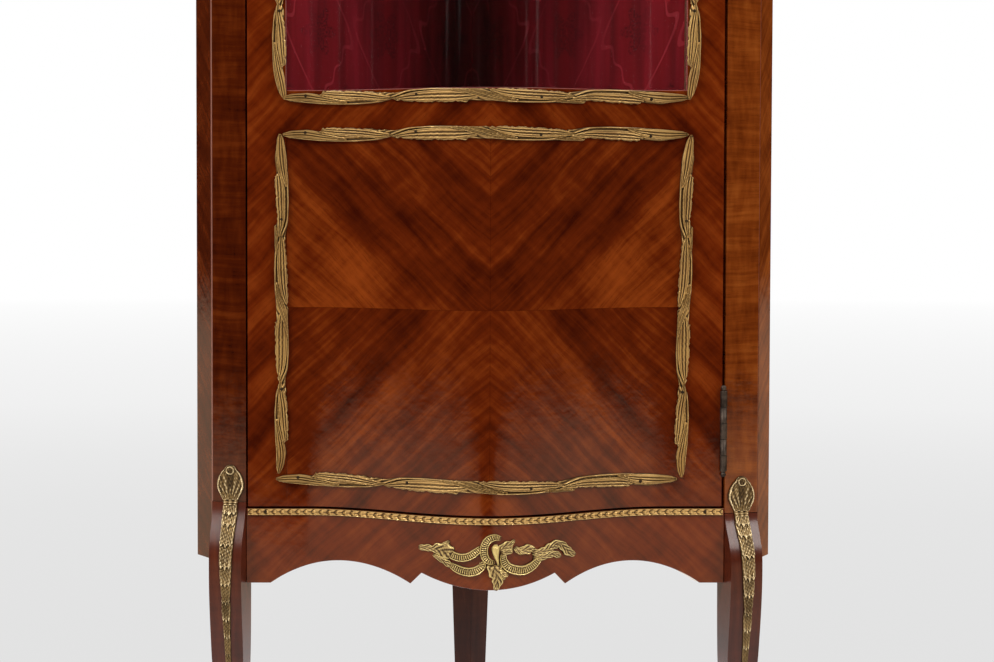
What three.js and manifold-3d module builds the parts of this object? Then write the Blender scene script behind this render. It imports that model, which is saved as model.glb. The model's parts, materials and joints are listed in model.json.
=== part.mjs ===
// Corner curio cabinet: a bowed, glazed door over a veneered panel, on curved legs with gilt mounts.
// Millimetres, +Z up. +X is to the right of a person facing the door, +Y runs back to the room corner.

import * as THREE from 'three';
import { mergeVertices } from 'three/addons/utils/BufferGeometryUtils.js';
import Module from 'manifold-3d';

const wasm = await Module();
wasm.setup();

// Case: plan
const openingWidth = 512;
const frontSwell = 86;
const swellShare = 0.75;
const stileFaceWidth = 37.7;
const stileCant = 14;
const stileDepth = 34;
const returnWidth = 42.2;
const returnSplay = 25.5;
const returnThickness = 12;
const backThickness = 8;
const rearPostSide = 34;
const rearPostFootSide = 25;

// Case: heights above the floor
const totalHeight = 1600;
const corniceHeight = 42;
const friezeHeight = 60;
const apronTop = 260.3;
const apronFlatHeight = 180;
const returnBottom = 204;
const rearTaperTop = 190;

// Case: boards and rails
const railThickness = 22;
const boardThickness = 16;
const corniceOverhang = 16;
const liningThickness = 1.5;
const shelfGlassThickness = 6;
const battenWidth = 10;
const battenHeight = 12;
const shelfAboveLock = 40;
const upperShelfShare = 0.5;
const cupboardShelfShare = 0.5;

// Front legs
const kneeHeight = 197;
const leftKneeTop = 266.7;
const rightKneeTop = 254.5;
const kneeReach = 20;
const legBack = 19;
const legTaper = 8;
const sabotSole = 3;
const sabotWall = 2.4;
const sabotHeight = 58;
const sabotToe = 5;

// Door
const doorThickness = 22;
const doorGap = 2;
const doorHeelGap = 1.5;
const doorStileWidth = 41.5;
const doorBottomRailHeight = 29.7;
const doorMiddleRailHeight = 47;
const doorTopRailHeight = 62;
const glassSightBottom = 706;
const displayFloorDrop = 14;
const glassRebate = 6.5;
const glassThickness = 3;
const glassInset = 8;

// Gilt mounts
const mouldingWidth = 14;
const mouldingThickness = 5;
const panelMouldingOutset = 2.8;
const panelMouldingOffset = -3;
const panelBottomMouldingOffset = -9.5;
const bandHeight = 7.5;
const bandThickness = 2.6;
const kneeMountRise = 40;
const kneeMountThickness = 6.5;
const kneeMountHalfWidth = 15;
const apronMountThickness = 6;
const apronMountHalfWidth = 81;
const apronMountHeight = 54;
const apronMountCentre = 222;
const apronMountOffset = 8;

// Hinges
const hingeHeight = 86;
const hingeEndDistance = 38;
const knuckleRadius = 3.6;
const knuckleCount = 5;
const hingePinRadius = 1.6;
const finialRadius = 3;
const leafThickness = 1.4;
const leafProud = 0.5;
const leafWidth = 20;
const hingeInset = 2.4;

// Lock and key
const lockHeight = 880;
const lockCaseHeight = 64;
const lockCaseDepth = 10;
const lockCaseWall = 1.3;
const lockCaseEdgeGap = 1.4;
const keyEdgeDistance = 14.5;
const keyShaftRadius = 2.2;
const keyBitRadius = 5;
const keyDrop = 10;
const keyBowRadius = 10;
const keyBowThickness = 3.2;
const keyReach = 30;
const boltThrow = 7;
const boltHeight = 11;
const boltThickness = 4;
const boltLength = 20;
const escutcheonWidth = 18;
const escutcheonHeight = 58;
const escutcheonThickness = 2.4;

// Clearances, and the overrun of a cutting tool
const seam = 0.3;
const knuckleGap = 0.5;
const slidingGap = 0.5;
const overrun = 5;

// Facets
const frontSteps = 32;
const roundSides = 16;

const halfOpening = openingWidth / 2;
const corniceBottom = totalHeight - corniceHeight;
const friezeBottom = corniceBottom - friezeHeight;
const doorTop = friezeBottom - doorGap;
const doorBottom = apronTop + doorGap;
const boardFront = doorThickness + doorHeelGap;
const panelBottom = doorBottom + doorBottomRailHeight;
const panelTop = glassSightBottom - doorMiddleRailHeight;
const displayFloorTop = glassSightBottom - displayFloorDrop;
const glassSightTop = doorTop - doorTopRailHeight;
const halfSight = halfOpening - doorGap - doorStileWidth;

// Materials

const finish = (color, roughness, metalness) => (
  new THREE.MeshStandardMaterial({ color, roughness, metalness }));
const veneer = finish(0x6b2a10, 0.25, 0);
const quarteredVeneer = finish(0x80321a, 0.22, 0);
const caseWood = finish(0x5d2a16, 0.5, 0);
const gilt = finish(0xb08a45, 0.38, 0.9);
const hingeBrass = finish(0x5a4436, 0.45, 0.8);
const lockSteel = finish(0x7d7a74, 0.4, 0.9);
const liningCloth = finish(0x6e121c, 0.9, 0);
const glass = new THREE.MeshStandardMaterial({
  color: 0xdfe8e6, roughness: 0.05, metalness: 0, transparent: true, opacity: 0.25,
});

// Solids: every geometry is one closed body with its faces outward

function signedVolume(geometry) {
  const place = geometry.getAttribute('position');
  const [a, b, c] = [new THREE.Vector3(), new THREE.Vector3(), new THREE.Vector3()];
  let sum = 0;
  for (let i = 0; i < geometry.index.count; i += 3) {
    a.fromBufferAttribute(place, geometry.index.getX(i));
    b.fromBufferAttribute(place, geometry.index.getX(i + 1));
    c.fromBufferAttribute(place, geometry.index.getX(i + 2));
    sum += a.dot(b.cross(c));
  }
  return sum;
}

function closedGeometry(points, triangles) {
  const geometry = new THREE.BufferGeometry();
  const numbers = points.flatMap((p) => p.toArray());
  geometry.setAttribute('position', new THREE.Float32BufferAttribute(numbers, 3));
  geometry.setIndex(triangles.flat());
  if (signedVolume(geometry) < 0) {
    geometry.setIndex(triangles.flatMap(([i, j, k]) => [i, k, j]));
  }
  return geometry;
}

// Skin over rings of points, closed at both ends; flatten gives a ring's points in its own plane
function loft(rings, flatten) {
  const size = rings[0].length;
  const triangles = [];
  for (let r = 0; r + 1 < rings.length; r += 1) {
    for (let i = 0; i < size; i += 1) {
      const j = (i + 1) % size;
      const [low, high] = [r * size, (r + 1) * size];
      triangles.push([low + i, low + j, high + j], [low + i, high + j, high + i]);
    }
  }
  const first = THREE.ShapeUtils.triangulateShape(rings[0].map(flatten), []);
  const last = THREE.ShapeUtils.triangulateShape(rings.at(-1).map(flatten), []);
  const start = (rings.length - 1) * size;
  const clockwise = THREE.ShapeUtils.isClockWise(rings[0].map(flatten));
  const flipped = clockwise ? ([i, j, k]) => [i, j, k] : ([i, j, k]) => [i, k, j];
  triangles.push(...first.map(flipped));
  triangles.push(...last.map(([i, j, k]) => (clockwise ? [i, k, j] : [i, j, k]).map((n) => n + start)));
  return closedGeometry(rings.flat(), triangles);
}

const inPlan = (p) => new THREE.Vector2(p.x, p.y);
const inSection = (p) => new THREE.Vector2(p.y, p.z);

// Upright prism over an outline in plan
function prism(outline, low, high) {
  const depth = high - low;
  const body = new THREE.ExtrudeGeometry(new THREE.Shape(outline), { depth, bevelEnabled: false });
  return body.translate(0, 0, low);
}

// Prism along Y over an outline in elevation, whose points are x and z
function elevation(shape, near, far) {
  const options = { depth: far - near, bevelEnabled: false, curveSegments: roundSides };
  const body = new THREE.ExtrudeGeometry(shape, options);
  return body.rotateX(Math.PI / 2).translate(0, far, 0);
}

function block(x, y, z) {
  const body = new THREE.BoxGeometry(x[1] - x[0], y[1] - y[0], z[1] - z[0]);
  return body.translate((x[0] + x[1]) / 2, (y[0] + y[1]) / 2, (z[0] + z[1]) / 2);
}

const rod = (radius, length) => new THREE.CylinderGeometry(radius, radius, length, roundSides);
const uprightRod = (radius, low, high, centre) => rod(radius, high - low)
  .rotateX(Math.PI / 2).translate(centre.x, centre.y, (low + high) / 2);
const levelRod = (radius, near, far, x, z) => rod(radius, far - near)
  .translate(x, (near + far) / 2, z);

function solidOf(geometry) {
  const bare = new THREE.BufferGeometry();
  bare.setAttribute('position', geometry.getAttribute('position').clone());
  if (geometry.index) bare.setIndex(geometry.index.clone());
  const merged = mergeVertices(bare);
  return new wasm.Manifold(new wasm.Mesh({
    numProp: 3,
    vertProperties: new Float32Array(merged.getAttribute('position').array),
    triVerts: new Uint32Array(merged.index.array),
  }));
}

function geometryOf(solid) {
  const mesh = solid.getMesh();
  const geometry = new THREE.BufferGeometry();
  geometry.setAttribute('position', new THREE.BufferAttribute(new Float32Array(mesh.vertProperties), 3));
  geometry.setIndex(new THREE.BufferAttribute(new Uint32Array(mesh.triVerts), 1));
  return geometry;
}

const combine = (join) => (body, ...others) => geometryOf(others.map(solidOf).reduce(join, solidOf(body)));
const cut = combine((a, b) => a.subtract(b));
const join = combine((a, b) => a.add(b));
const common = combine((a, b) => a.intersect(b));

// Plan of the case, right half; a line carries a normal that points into the case or the opening

const vec = (x, y) => new THREE.Vector2(x, y);
const radians = THREE.MathUtils.degToRad;
const line = (point, direction, inward) => ({ point, direction, inward });
const shifted = ({ point, direction, inward }, distance) => (
  line(point.clone().addScaledVector(inward, distance), direction, inward));

function meet(a, b) {
  const gap = b.point.clone().sub(a.point);
  const travel = gap.cross(b.direction) / a.direction.cross(b.direction);
  return a.point.clone().addScaledVector(a.direction, travel);
}

const stileAlong = vec(Math.cos(radians(stileCant)), Math.sin(radians(stileCant)));
const stileInward = vec(-stileAlong.y, stileAlong.x);
const returnAlong = vec(Math.sin(radians(returnSplay)), Math.cos(radians(returnSplay)));
const returnInward = vec(-returnAlong.y, returnAlong.x);
const wallAlong = vec(-1, 1).normalize();
const wallInward = vec(-1, -1).normalize();

const openingEdge = vec(halfOpening, 0);
const frontArris = openingEdge.clone().addScaledVector(stileAlong, stileFaceWidth);
const wallStart = frontArris.clone().addScaledVector(returnAlong, returnWidth);
const rearCorner = vec(0, wallStart.x + wallStart.y);

const stileFront = line(openingEdge, stileAlong, stileInward);
const stileRear = shifted(stileFront, stileDepth);
const openingSide = line(openingEdge, stileInward, stileAlong.clone().negate());
const returnFace = line(frontArris, returnAlong, returnInward);
const wallFace = line(wallStart, wallAlong, wallInward);
const postSide = line(rearCorner.clone().addScaledVector(wallAlong, -rearPostSide), wallInward,
  wallAlong.clone().negate());
const centreLine = line(vec(0, 0), vec(0, 1), vec(-1, 0));
const mitreInner = meet(shifted(stileFront, returnThickness), shifted(returnFace, returnThickness));
const mitreLine = line(frontArris, mitreInner.clone().sub(frontArris).normalize(), returnAlong);
const mitreStep = returnAlong.clone()
  .multiplyScalar(seam / Math.abs(returnAlong.cross(mitreLine.direction)));

const onSide = (points, side) => points.map((p) => vec(p.x * side, p.y));

// Serpentine front: depth of the surface at x, and the places where its facets turn
function swellAt(x) {
  const reach = swellShare * halfOpening;
  return Math.abs(x) < reach ? -frontSwell * Math.cos(Math.PI * x / (2 * reach)) ** 2 : 0;
}

function stations(from, to) {
  const step = openingWidth / frontSteps;
  const inner = [];
  for (let i = 1; i < frontSteps; i += 1) {
    const x = i * step - halfOpening;
    if (x > from + step / frontSteps && x < to - step / frontSteps) inner.push(x);
  }
  return [from, ...inner, to];
}

const facet = (x) => {
  const step = openingWidth / frontSteps;
  const index = Math.floor((x + halfOpening) / step);
  const [low, high] = [index, index + 1].map((i) => i * step - halfOpening);
  return swellAt(low) + (swellAt(high) - swellAt(low)) * (x - low) / step;
};

// Upright layer that follows the front, from one depth behind the surface to another
function frontLayer(from, to, near, far, low, high) {
  const places = stations(from, to);
  const outline = [
    ...places.map((x) => vec(x, facet(x) + near)),
    ...places.toReversed().map((x) => vec(x, facet(x) + far)),
  ];
  return prism(outline, low, high);
}

// Bar that follows the front, with a section whose points are depth and height
function frontBar(from, to, section) {
  const rings = stations(from, to).map((x) => (
    section.map(([y, z]) => new THREE.Vector3(x, facet(x) + y, z))));
  return loft(rings, inSection);
}

// Outline of a board inside the case, with one clearance to all that stands round it
function insideOutline(gap) {
  const side = shifted(openingSide, gap);
  const nose = meet(side, line(vec(0, boardFront), vec(1, 0), vec(0, 1)));
  const right = [
    meet(side, shifted(stileRear, gap)),
    meet(shifted(stileRear, gap), shifted(returnFace, returnThickness + gap)),
    meet(shifted(returnFace, returnThickness + gap), shifted(wallFace, backThickness + gap)),
    meet(shifted(wallFace, backThickness + gap), shifted(postSide, gap)),
  ];
  const front = stations(-nose.x, nose.x).map((x) => vec(x, facet(x) + boardFront));
  return [...front, ...right, meet(shifted(postSide, gap), centreLine), ...onSide(right, -1).toReversed()];
}

// Case: posts, returns, backs

const stileOutline = [
  openingEdge,
  frontArris,
  meet(mitreLine, shifted(returnFace, returnThickness + seam)),
  meet(shifted(returnFace, returnThickness + seam), stileRear),
  meet(openingSide, stileRear),
];

const returnOutline = [
  frontArris.clone().add(mitreStep),
  wallStart,
  meet(wallFace, shifted(returnFace, returnThickness)),
  mitreInner.clone().add(mitreStep),
];

const returnClearance = [
  frontArris,
  wallStart,
  meet(wallFace, shifted(returnFace, returnThickness + seam)),
  meet(mitreLine, shifted(returnFace, returnThickness + seam)),
];

const backOutline = [
  meet(wallFace, shifted(returnFace, returnThickness + seam)),
  meet(wallFace, shifted(postSide, seam)),
  meet(shifted(wallFace, backThickness), shifted(postSide, seam)),
  meet(shifted(wallFace, backThickness), shifted(returnFace, returnThickness + seam)),
];

const sideReturn = (side) => prism(onSide(returnOutline, side), returnBottom, corniceBottom - seam);
const backPanel = (side) => prism(onSide(backOutline, side), returnBottom, corniceBottom - seam);

function rearLegPost() {
  const heights = [0, rearTaperTop, corniceBottom - seam];
  const sizes = [rearPostFootSide, rearPostSide, rearPostSide];
  const rings = heights.map((z, i) => [
    rearCorner,
    rearCorner.clone().addScaledVector(wallAlong, -sizes[i]),
    vec(0, rearCorner.y - sizes[i] * Math.SQRT2),
    onSide([rearCorner.clone().addScaledVector(wallAlong, -sizes[i])], -1)[0],
  ].map((p) => new THREE.Vector3(p.x, p.y, z)));
  return loft(rings, inPlan);
}

// Front leg: rows of height, reach, inner taper, outer taper and back, as shares of the leg's sizes
const legRowShares = [
  [0, 0.5, 0.4, 0.7, 0.9],
  [0.06, 0.5, 0.4, 0.7, 0.9],
  [0.14, 0.32, 0.48, 0.76, 0.96],
  [0.24, 0.24, 0.5, 0.74, 1],
  [0.36, 0.33, 0.28, 0.5, 0.98],
  [0.48, 0.5, 0.08, 0.3, 0.97],
  [0.6, 0.66, 0.02, 0.26, 0.98],
  [0.74, 0.84, 0, 0.25, 1],
  [0.88, 0.97, 0, 0.25, 1.02],
  [1, 1, 0, 0.25, 1.05],
];
const kneeRowShares = [
  [0.18, 0.97, 0.24],
  [0.36, 0.84, 0.21],
  [0.54, 0.6, 0.17],
  [0.72, 0.32, 0.13],
  [0.88, 0.11, 0.1],
  [1, 0.03, 0.08],
];

function legRows(kneeTop) {
  const low = legRowShares.map(([height, reach, inner, outer, back]) => ({
    z: height * kneeHeight, out: reach * kneeReach, inner: inner * legTaper, outer: outer * legTaper,
    back: back * legBack,
  }));
  const high = kneeRowShares.map(([height, reach, outer]) => ({
    z: kneeHeight + height * (kneeTop - kneeHeight), out: reach * kneeReach, inner: 0,
    outer: outer * legTaper, back: legBack,
  }));
  return [...low, ...high];
}

// Point of the stile's own frame: across its face, then out in front of it
const fromStile = (across, out, side, z) => {
  const p = openingEdge.clone().addScaledVector(stileAlong, across).addScaledVector(stileInward, -out);
  return new THREE.Vector3(p.x * side, p.y, z);
};

const legRing = (row, side, grow, z) => [
  fromStile(row.inner - grow, -row.back - grow, side, z),
  fromStile(row.inner - grow, row.out + grow, side, z),
  fromStile(stileFaceWidth - row.outer + grow, row.out + grow, side, z),
  fromStile(stileFaceWidth - row.outer + grow, -row.back - grow, side, z),
];

function rowAt(rows, z) {
  const next = Math.max(1, rows.findIndex((row) => row.z >= z));
  const [a, b] = [rows[next - 1], rows[next]];
  const share = (z - a.z) / (b.z - a.z);
  return Object.fromEntries(Object.keys(a).map((key) => [key, a[key] + (b[key] - a[key]) * share]));
}

const kneeTopOf = (side) => (side < 0 ? leftKneeTop : rightKneeTop);

function frontLeg(side) {
  const rows = legRows(kneeTopOf(side));
  const footBottom = sabotSole + seam;
  const rings = [
    legRing(rowAt(rows, footBottom), side, 0, footBottom),
    ...rows.filter((row) => row.z > footBottom).map((row) => legRing(row, side, 0, row.z)),
  ];
  const post = prism(onSide(stileOutline, side), returnBottom, kneeTopOf(side));
  const clearance = prism(onSide(returnClearance, side), returnBottom - seam, kneeTopOf(side) + overrun);
  return cut(join(loft(rings, inPlan), post), clearance);
}

function frontStile(side) {
  const body = prism(onSide(stileOutline, side), kneeTopOf(side) + seam, corniceBottom - seam);
  return side > 0 ? cut(body, ...hingeBottoms.map(carcassLeafPocket)) : cut(body, strikePocket());
}

function sabot(side) {
  const rows = legRows(kneeTopOf(side));
  const inside = rows.filter((row) => row.z > sabotSole && row.z < sabotHeight).map((row) => row.z);
  const toe = (z) => sabotToe * (1 - z / sabotHeight) ** 2;
  const outerRing = (z) => {
    const row = rowAt(rows, z);
    return legRing({ ...row, out: row.out + toe(z) }, side, sabotWall, z);
  };
  const outer = loft([0, sabotSole, ...inside, sabotHeight].map(outerRing), inPlan);
  const above = sabotHeight + overrun;
  const hollow = loft([sabotSole, ...inside, sabotHeight, above]
    .map((z) => legRing(rowAt(rows, z), side, seam, z)), inPlan);
  return cut(outer, hollow);
}

// Knee mount: rows of height above or below the knee top, and half width, as shares of its sizes
const shellRowShares = [
  [1, 0.25],
  [0.9, 0.72],
  [0.72, 1],
  [0.5, 0.96],
  [0.28, 0.72],
  [0.1, 0.48],
];
const tailRowShares = [
  [0.02, 0.44],
  [0.1, 0.54],
  [0.3, 0.52],
  [0.5, 0.4],
  [0.7, 0.27],
  [0.85, 0.22],
  [1, 0.2],
];

function kneeMount(side) {
  const kneeTop = kneeTopOf(side);
  const rows = legRows(kneeTop);
  const tailEnd = sabotHeight + seam;
  const ring = (z, halfWidth, seat) => {
    const centre = stileFaceWidth / 2;
    const rise = kneeMountThickness * Math.min(1, halfWidth / (kneeMountHalfWidth / 2));
    const base = seat + seam;
    return [
      fromStile(centre - halfWidth, base, side, z),
      fromStile(centre - halfWidth, base + rise / 3, side, z),
      fromStile(centre - halfWidth / 2, base + rise, side, z),
      fromStile(centre + halfWidth / 2, base + rise, side, z),
      fromStile(centre + halfWidth, base + rise / 3, side, z),
      fromStile(centre + halfWidth, base, side, z),
    ];
  };
  const shell = shellRowShares.map(([height, width]) => (
    ring(kneeTop + height * kneeMountRise, width * kneeMountHalfWidth, 0)));
  const widthAt = (z) => {
    const fall = (kneeTop - z) / (kneeTop - tailEnd);
    const next = Math.max(1, tailRowShares.findIndex(([height]) => height >= fall));
    const [a, b] = [tailRowShares[next - 1], tailRowShares[next]];
    return kneeMountHalfWidth * (a[1] + (b[1] - a[1]) * (fall - a[0]) / (b[0] - a[0]));
  };
  const seats = rows.filter((row) => row.z > tailEnd && row.z < kneeTop).toReversed();
  const tail = seats.map((row) => ring(row.z, widthAt(row.z), row.out));
  const neck = ring(kneeTop, widthAt(kneeTop), rowAt(rows, kneeTop).out);
  const end = ring(tailEnd, widthAt(tailEnd), rowAt(rows, tailEnd).out);
  return loft([...shell, neck, ...tail, end], inPlan);
}

// Case: rails, boards, cornice

const seamEdge = (depth) => meet(shifted(openingSide, seam), line(vec(0, depth), vec(1, 0), vec(0, 1))).x;

// Rail between the stiles, its ends cut to the canted sides of the opening
function railBetweenStiles(low, high) {
  const front = stations(-seamEdge(0), seamEdge(0)).map((x) => vec(x, facet(x)));
  const back = stations(-seamEdge(railThickness), seamEdge(railThickness)).toReversed()
    .map((x) => vec(x, facet(x) + railThickness));
  return prism([...front, ...back], low, high);
}

// Apron: the right half of its lower edge, as shares of the half opening and of the drop to the flats
const apronEdgeShares = {
  flatEnd: [0.898, 0],
  archTop: [0.615, 1],
  spike: [0.318, 0.28],
  notch: [0.273, 0.78],
  middle: [0, 0.19],
};
const apronArchRise = 25;

function arcThrough(a, b, c, steps) {
  const bisector = (p, q) => {
    const across = q.clone().sub(p);
    return line(p.clone().add(q).divideScalar(2), vec(-across.y, across.x), across);
  };
  const centre = meet(bisector(a, b), bisector(b, c));
  const angle = (p) => Math.atan2(p.y - centre.y, p.x - centre.x);
  const [start, end] = [angle(a), angle(c)];
  const turn = THREE.MathUtils.euclideanModulo(end - start + Math.PI, 2 * Math.PI) - Math.PI;
  const radius = a.distanceTo(centre);
  return Array.from({ length: steps + 1 }, (_, i) => {
    const at = start + turn * i / steps;
    return vec(centre.x + radius * Math.cos(at), centre.y + radius * Math.sin(at));
  });
}

function apronRail() {
  const place = ([across, up], side) => (
    vec(across * halfOpening * side, apronFlatHeight + up * apronArchRise));
  const { flatEnd, archTop, spike, notch, middle } = apronEdgeShares;
  const arch = (side) => (
    arcThrough(place(flatEnd, side), place(archTop, side), place(spike, side), roundSides));
  const edge = [
    vec(-halfOpening - overrun, apronFlatHeight),
    ...arch(-1),
    ...arcThrough(place(notch, -1), place(middle, 1), place(notch, 1), roundSides),
    ...arch(1).toReversed(),
    vec(halfOpening + overrun, apronFlatHeight),
  ];
  const top = apronTop + overrun;
  const outline = new THREE.Shape(
    [...edge, vec(halfOpening + overrun, top), vec(-halfOpening - overrun, top)]);
  const blank = railBetweenStiles(apronFlatHeight - overrun, apronTop);
  return common(blank, elevation(outline, -frontSwell - overrun, railThickness + overrun));
}

// Cornice: rows of height and overhang, from the frieze to the top
const corniceRowShares = [
  [0, 0.12],
  [0.14, 0.12],
  [0.16, 0.24],
  [0.34, 0.3],
  [0.5, 0.46],
  [0.6, 0.72],
  [0.62, 0.84],
  [0.72, 0.98],
  [0.84, 1],
  [0.94, 0.94],
  [1, 0.8],
];

function corniceOutline(overhang) {
  const frontEdge = line(vec(0, -overhang), vec(1, 0), vec(0, 1));
  const corner = meet(frontEdge, shifted(stileFront, -overhang));
  const slope = (x) => (facet(x + seam) - facet(x - seam)) / (2 * seam);
  const curve = stations(-halfOpening, halfOpening).slice(1, -1).map((x) => {
    const out = vec(slope(x), -1).normalize();
    return vec(x, facet(x)).addScaledVector(out, overhang);
  });
  const right = [
    corner,
    meet(shifted(stileFront, -overhang), shifted(returnFace, -overhang)),
    meet(shifted(returnFace, -overhang), wallFace),
  ];
  return [...curve, ...right, rearCorner, ...onSide(right, -1).toReversed()];
}

function cornice() {
  const rings = corniceRowShares.map(([height, out]) => (
    corniceOutline(out * corniceOverhang)
      .map((p) => new THREE.Vector3(p.x, p.y, corniceBottom + height * corniceHeight))));
  return loft(rings, inPlan);
}

const caseBoard = (top) => prism(insideOutline(seam), top - boardThickness, top);

// Bottom board: behind the apron rail, under the door's heel
function bottomBoard() {
  const behindApron = frontLayer(-halfOpening, halfOpening, -overrun, railThickness + seam,
    apronTop - boardThickness - overrun, apronTop + overrun);
  return cut(prism(insideOutline(seam), apronTop - boardThickness, apronTop), behindApron);
}

// Lining: cloth on the inside of the back and round the rear post, in the glazed part
const liningBottom = displayFloorTop + seam;
const ceiling = doorTop - boardThickness;

function lining(side) {
  const [near, far] = [seam + liningThickness, seam];
  const strip = (gap) => [
    meet(shifted(wallFace, backThickness + gap), shifted(returnFace, returnThickness + near)),
    meet(shifted(wallFace, backThickness + gap), shifted(postSide, gap)),
    meet(shifted(postSide, gap), shifted(centreLine, -seam / 2)),
  ];
  return prism(onSide([...strip(far), ...strip(near).toReversed()], side), liningBottom, ceiling - seam);
}

const lowerShelfHeight = lockHeight + lockCaseHeight / 2 + shelfAboveLock;
const upperShelfHeight = lowerShelfHeight + upperShelfShare * (ceiling - lowerShelfHeight);
const cupboardShelfHeight = apronTop + cupboardShelfShare * (displayFloorTop - boardThickness - apronTop);
const linedGap = 2 * seam + liningThickness;

const glassShelf = (bottom) => prism(insideOutline(linedGap), bottom, bottom + shelfGlassThickness);

// Batten on the back that carries a shelf; the gap is what lies between them
function shelfBatten(side, shelfBottom, gap) {
  const outer = shifted(wallFace, backThickness + gap);
  const inner = shifted(outer, battenWidth);
  const post = shifted(postSide, gap);
  const outline = [
    meet(outer, shifted(returnFace, returnThickness + gap)),
    meet(outer, post),
    meet(inner, post),
    meet(inner, shifted(stileRear, gap)),
  ];
  return prism(onSide(outline, side), shelfBottom - seam - battenHeight, shelfBottom - seam);
}

// Door frame; the hinged edge is on the right

const doorEdge = shifted(openingSide, doorGap);
const doorEdgeAt = (depth) => meet(doorEdge, line(vec(0, depth), vec(1, 0), vec(0, 1)));
const glassReach = halfSight + glassRebate;

function rebate() {
  return frontLayer(-glassReach, glassReach, glassInset, doorThickness + overrun,
    glassSightBottom - glassRebate, glassSightTop + glassRebate);
}

function doorStile(side) {
  const outline = [
    vec(halfSight, 0), doorEdgeAt(0), doorEdgeAt(doorThickness), vec(halfSight, doorThickness),
  ];
  const body = cut(prism(onSide(outline, side), doorBottom, doorTop), rebate());
  return side > 0 ? cut(body, ...hingeBottoms.map(doorLeafPocket)) : cut(body, keyhole());
}

const doorRail = (low, high) => (
  frontLayer(-halfSight + seam, halfSight - seam, 0, doorThickness, low, high));
const doorTopRail = () => cut(doorRail(glassSightTop, doorTop), rebate());
const doorMiddleRail = () => cut(doorRail(panelTop + seam, glassSightBottom), rebate());
const doorBottomRail = () => doorRail(doorBottom, panelBottom - seam);
const doorPanel = () => doorRail(panelBottom, panelTop);

const glassLow = glassSightBottom - glassRebate + seam;
const glassHigh = glassSightTop + glassRebate - seam;
const doorGlass = () => frontLayer(-glassReach + seam, glassReach - seam, glassInset + seam,
  glassInset + seam + glassThickness, glassLow, glassHigh);

function glazingBead() {
  const near = glassInset + glassThickness + 2 * seam;
  const ring = frontLayer(-glassReach + seam, glassReach - seam, near, doorThickness, glassLow, glassHigh);
  const sight = block([-halfSight, halfSight], [-frontSwell - overrun, doorThickness + overrun],
    [glassSightBottom, glassSightTop]);
  return cut(ring, sight);
}

// Gilt mouldings on the door: a rounded section with a rippled leaf edge
const mouldingSectionShares = [
  [0, -0.5],
  [0, 0.5],
  [0.55, 0.42],
  [1, 0.12],
  [0.8, -0.2],
  [0.5, -0.44],
];
const leafRipple = 1.2;
const leafLength = 62;

const mouldingSection = (centre) => mouldingSectionShares.map(([out, up]) => (
  [-seam - out * mouldingThickness, centre + up * (mouldingWidth + 2 * leafRipple)]));

// Leafy outline of a straight moulding, from one end to the other, with a tip at each end
function leafOutline(from, to) {
  const steps = 4 * Math.round((to - from) / leafLength);
  const places = Array.from({ length: steps + 1 }, (_, i) => i / steps);
  const half = (share) => {
    const tip = Math.min(1, Math.min(share, 1 - share) * (to - from) / mouldingWidth + 1 / 3);
    return tip * (mouldingWidth / 2);
  };
  const edge = (up, crest) => places.map((share, i) => (
    vec(from + share * (to - from), up * (half(share) + (i % 4 === crest ? leafRipple : 0)))));
  const [upper, lower] = [edge(1, 1), edge(-1, 3)];
  return [...upper, ...lower.toReversed()];
}

function levelMoulding(halfLength, centre, offset) {
  const outline = leafOutline(-halfLength, halfLength).map((p) => vec(p.x + offset, p.y + centre));
  const reach = halfLength + overrun;
  const tool = elevation(new THREE.Shape(outline), -frontSwell - overrun - mouldingThickness, overrun);
  return common(frontBar(offset - reach, offset + reach, mouldingSection(centre)), tool);
}

function uprightMoulding(side, x, low, high, offset) {
  const outline = leafOutline(low, high).map((p) => vec(offset + x * side + p.y, p.x));
  const tool = elevation(new THREE.Shape(outline), -overrun - mouldingThickness, overrun);
  const rings = [low - overrun, high + overrun].map((z) => (
    mouldingSection(0).map(([y, across]) => new THREE.Vector3(offset + side * (x - across), y, z))));
  return common(loft(rings, inPlan), tool);
}

// Centre lines of the two moulding frames
const glassFrameX = halfSight + mouldingWidth / 2;
const glassFrameLow = glassSightBottom - mouldingWidth / 2;
const glassFrameHigh = glassSightTop + mouldingWidth / 2;
const panelFrameX = halfSight + panelMouldingOutset;
const panelFrameLow = panelBottom;
const panelFrameHigh = panelTop;
const mouldingCornerGap = mouldingWidth / 2 + leafRipple + seam;

function giltBand(centre) {
  const reach = seamEdge(0) - doorGap;
  return frontBar(-reach, reach, [
    [-seam, centre - bandHeight / 2],
    [-seam, centre + bandHeight / 2],
    [-seam - bandThickness, centre + bandHeight / 4],
    [-seam - bandThickness, centre - bandHeight / 4],
  ]);
}

// Apron mount: outline of the bow, as shares of its half width and height, from the left tip round
const apronMountShares = [
  [-1, 0.28], [-0.86, 0.3], [-0.74, 0.42], [-0.58, 0.26], [-0.4, 0.1], [-0.2, 0.16],
  [-0.18, 0.44], [0, 0.5], [0.16, 0.42], [0.22, 0.34], [0.34, 0.4], [0.5, 0.22],
  [0.7, 0.2], [0.8, 0.34], [0.92, 0.26], [1, 0.06], [0.82, 0.06], [0.66, 0.04],
  [0.56, -0.08], [0.44, -0.26], [0.28, -0.26], [0.16, -0.12], [0.14, -0.34],
  [0.06, -0.5], [-0.02, -0.46], [-0.04, -0.16], [-0.16, -0.3], [-0.4, -0.3],
  [-0.56, -0.1], [-0.72, 0.06], [-0.84, 0.14],
];

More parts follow.
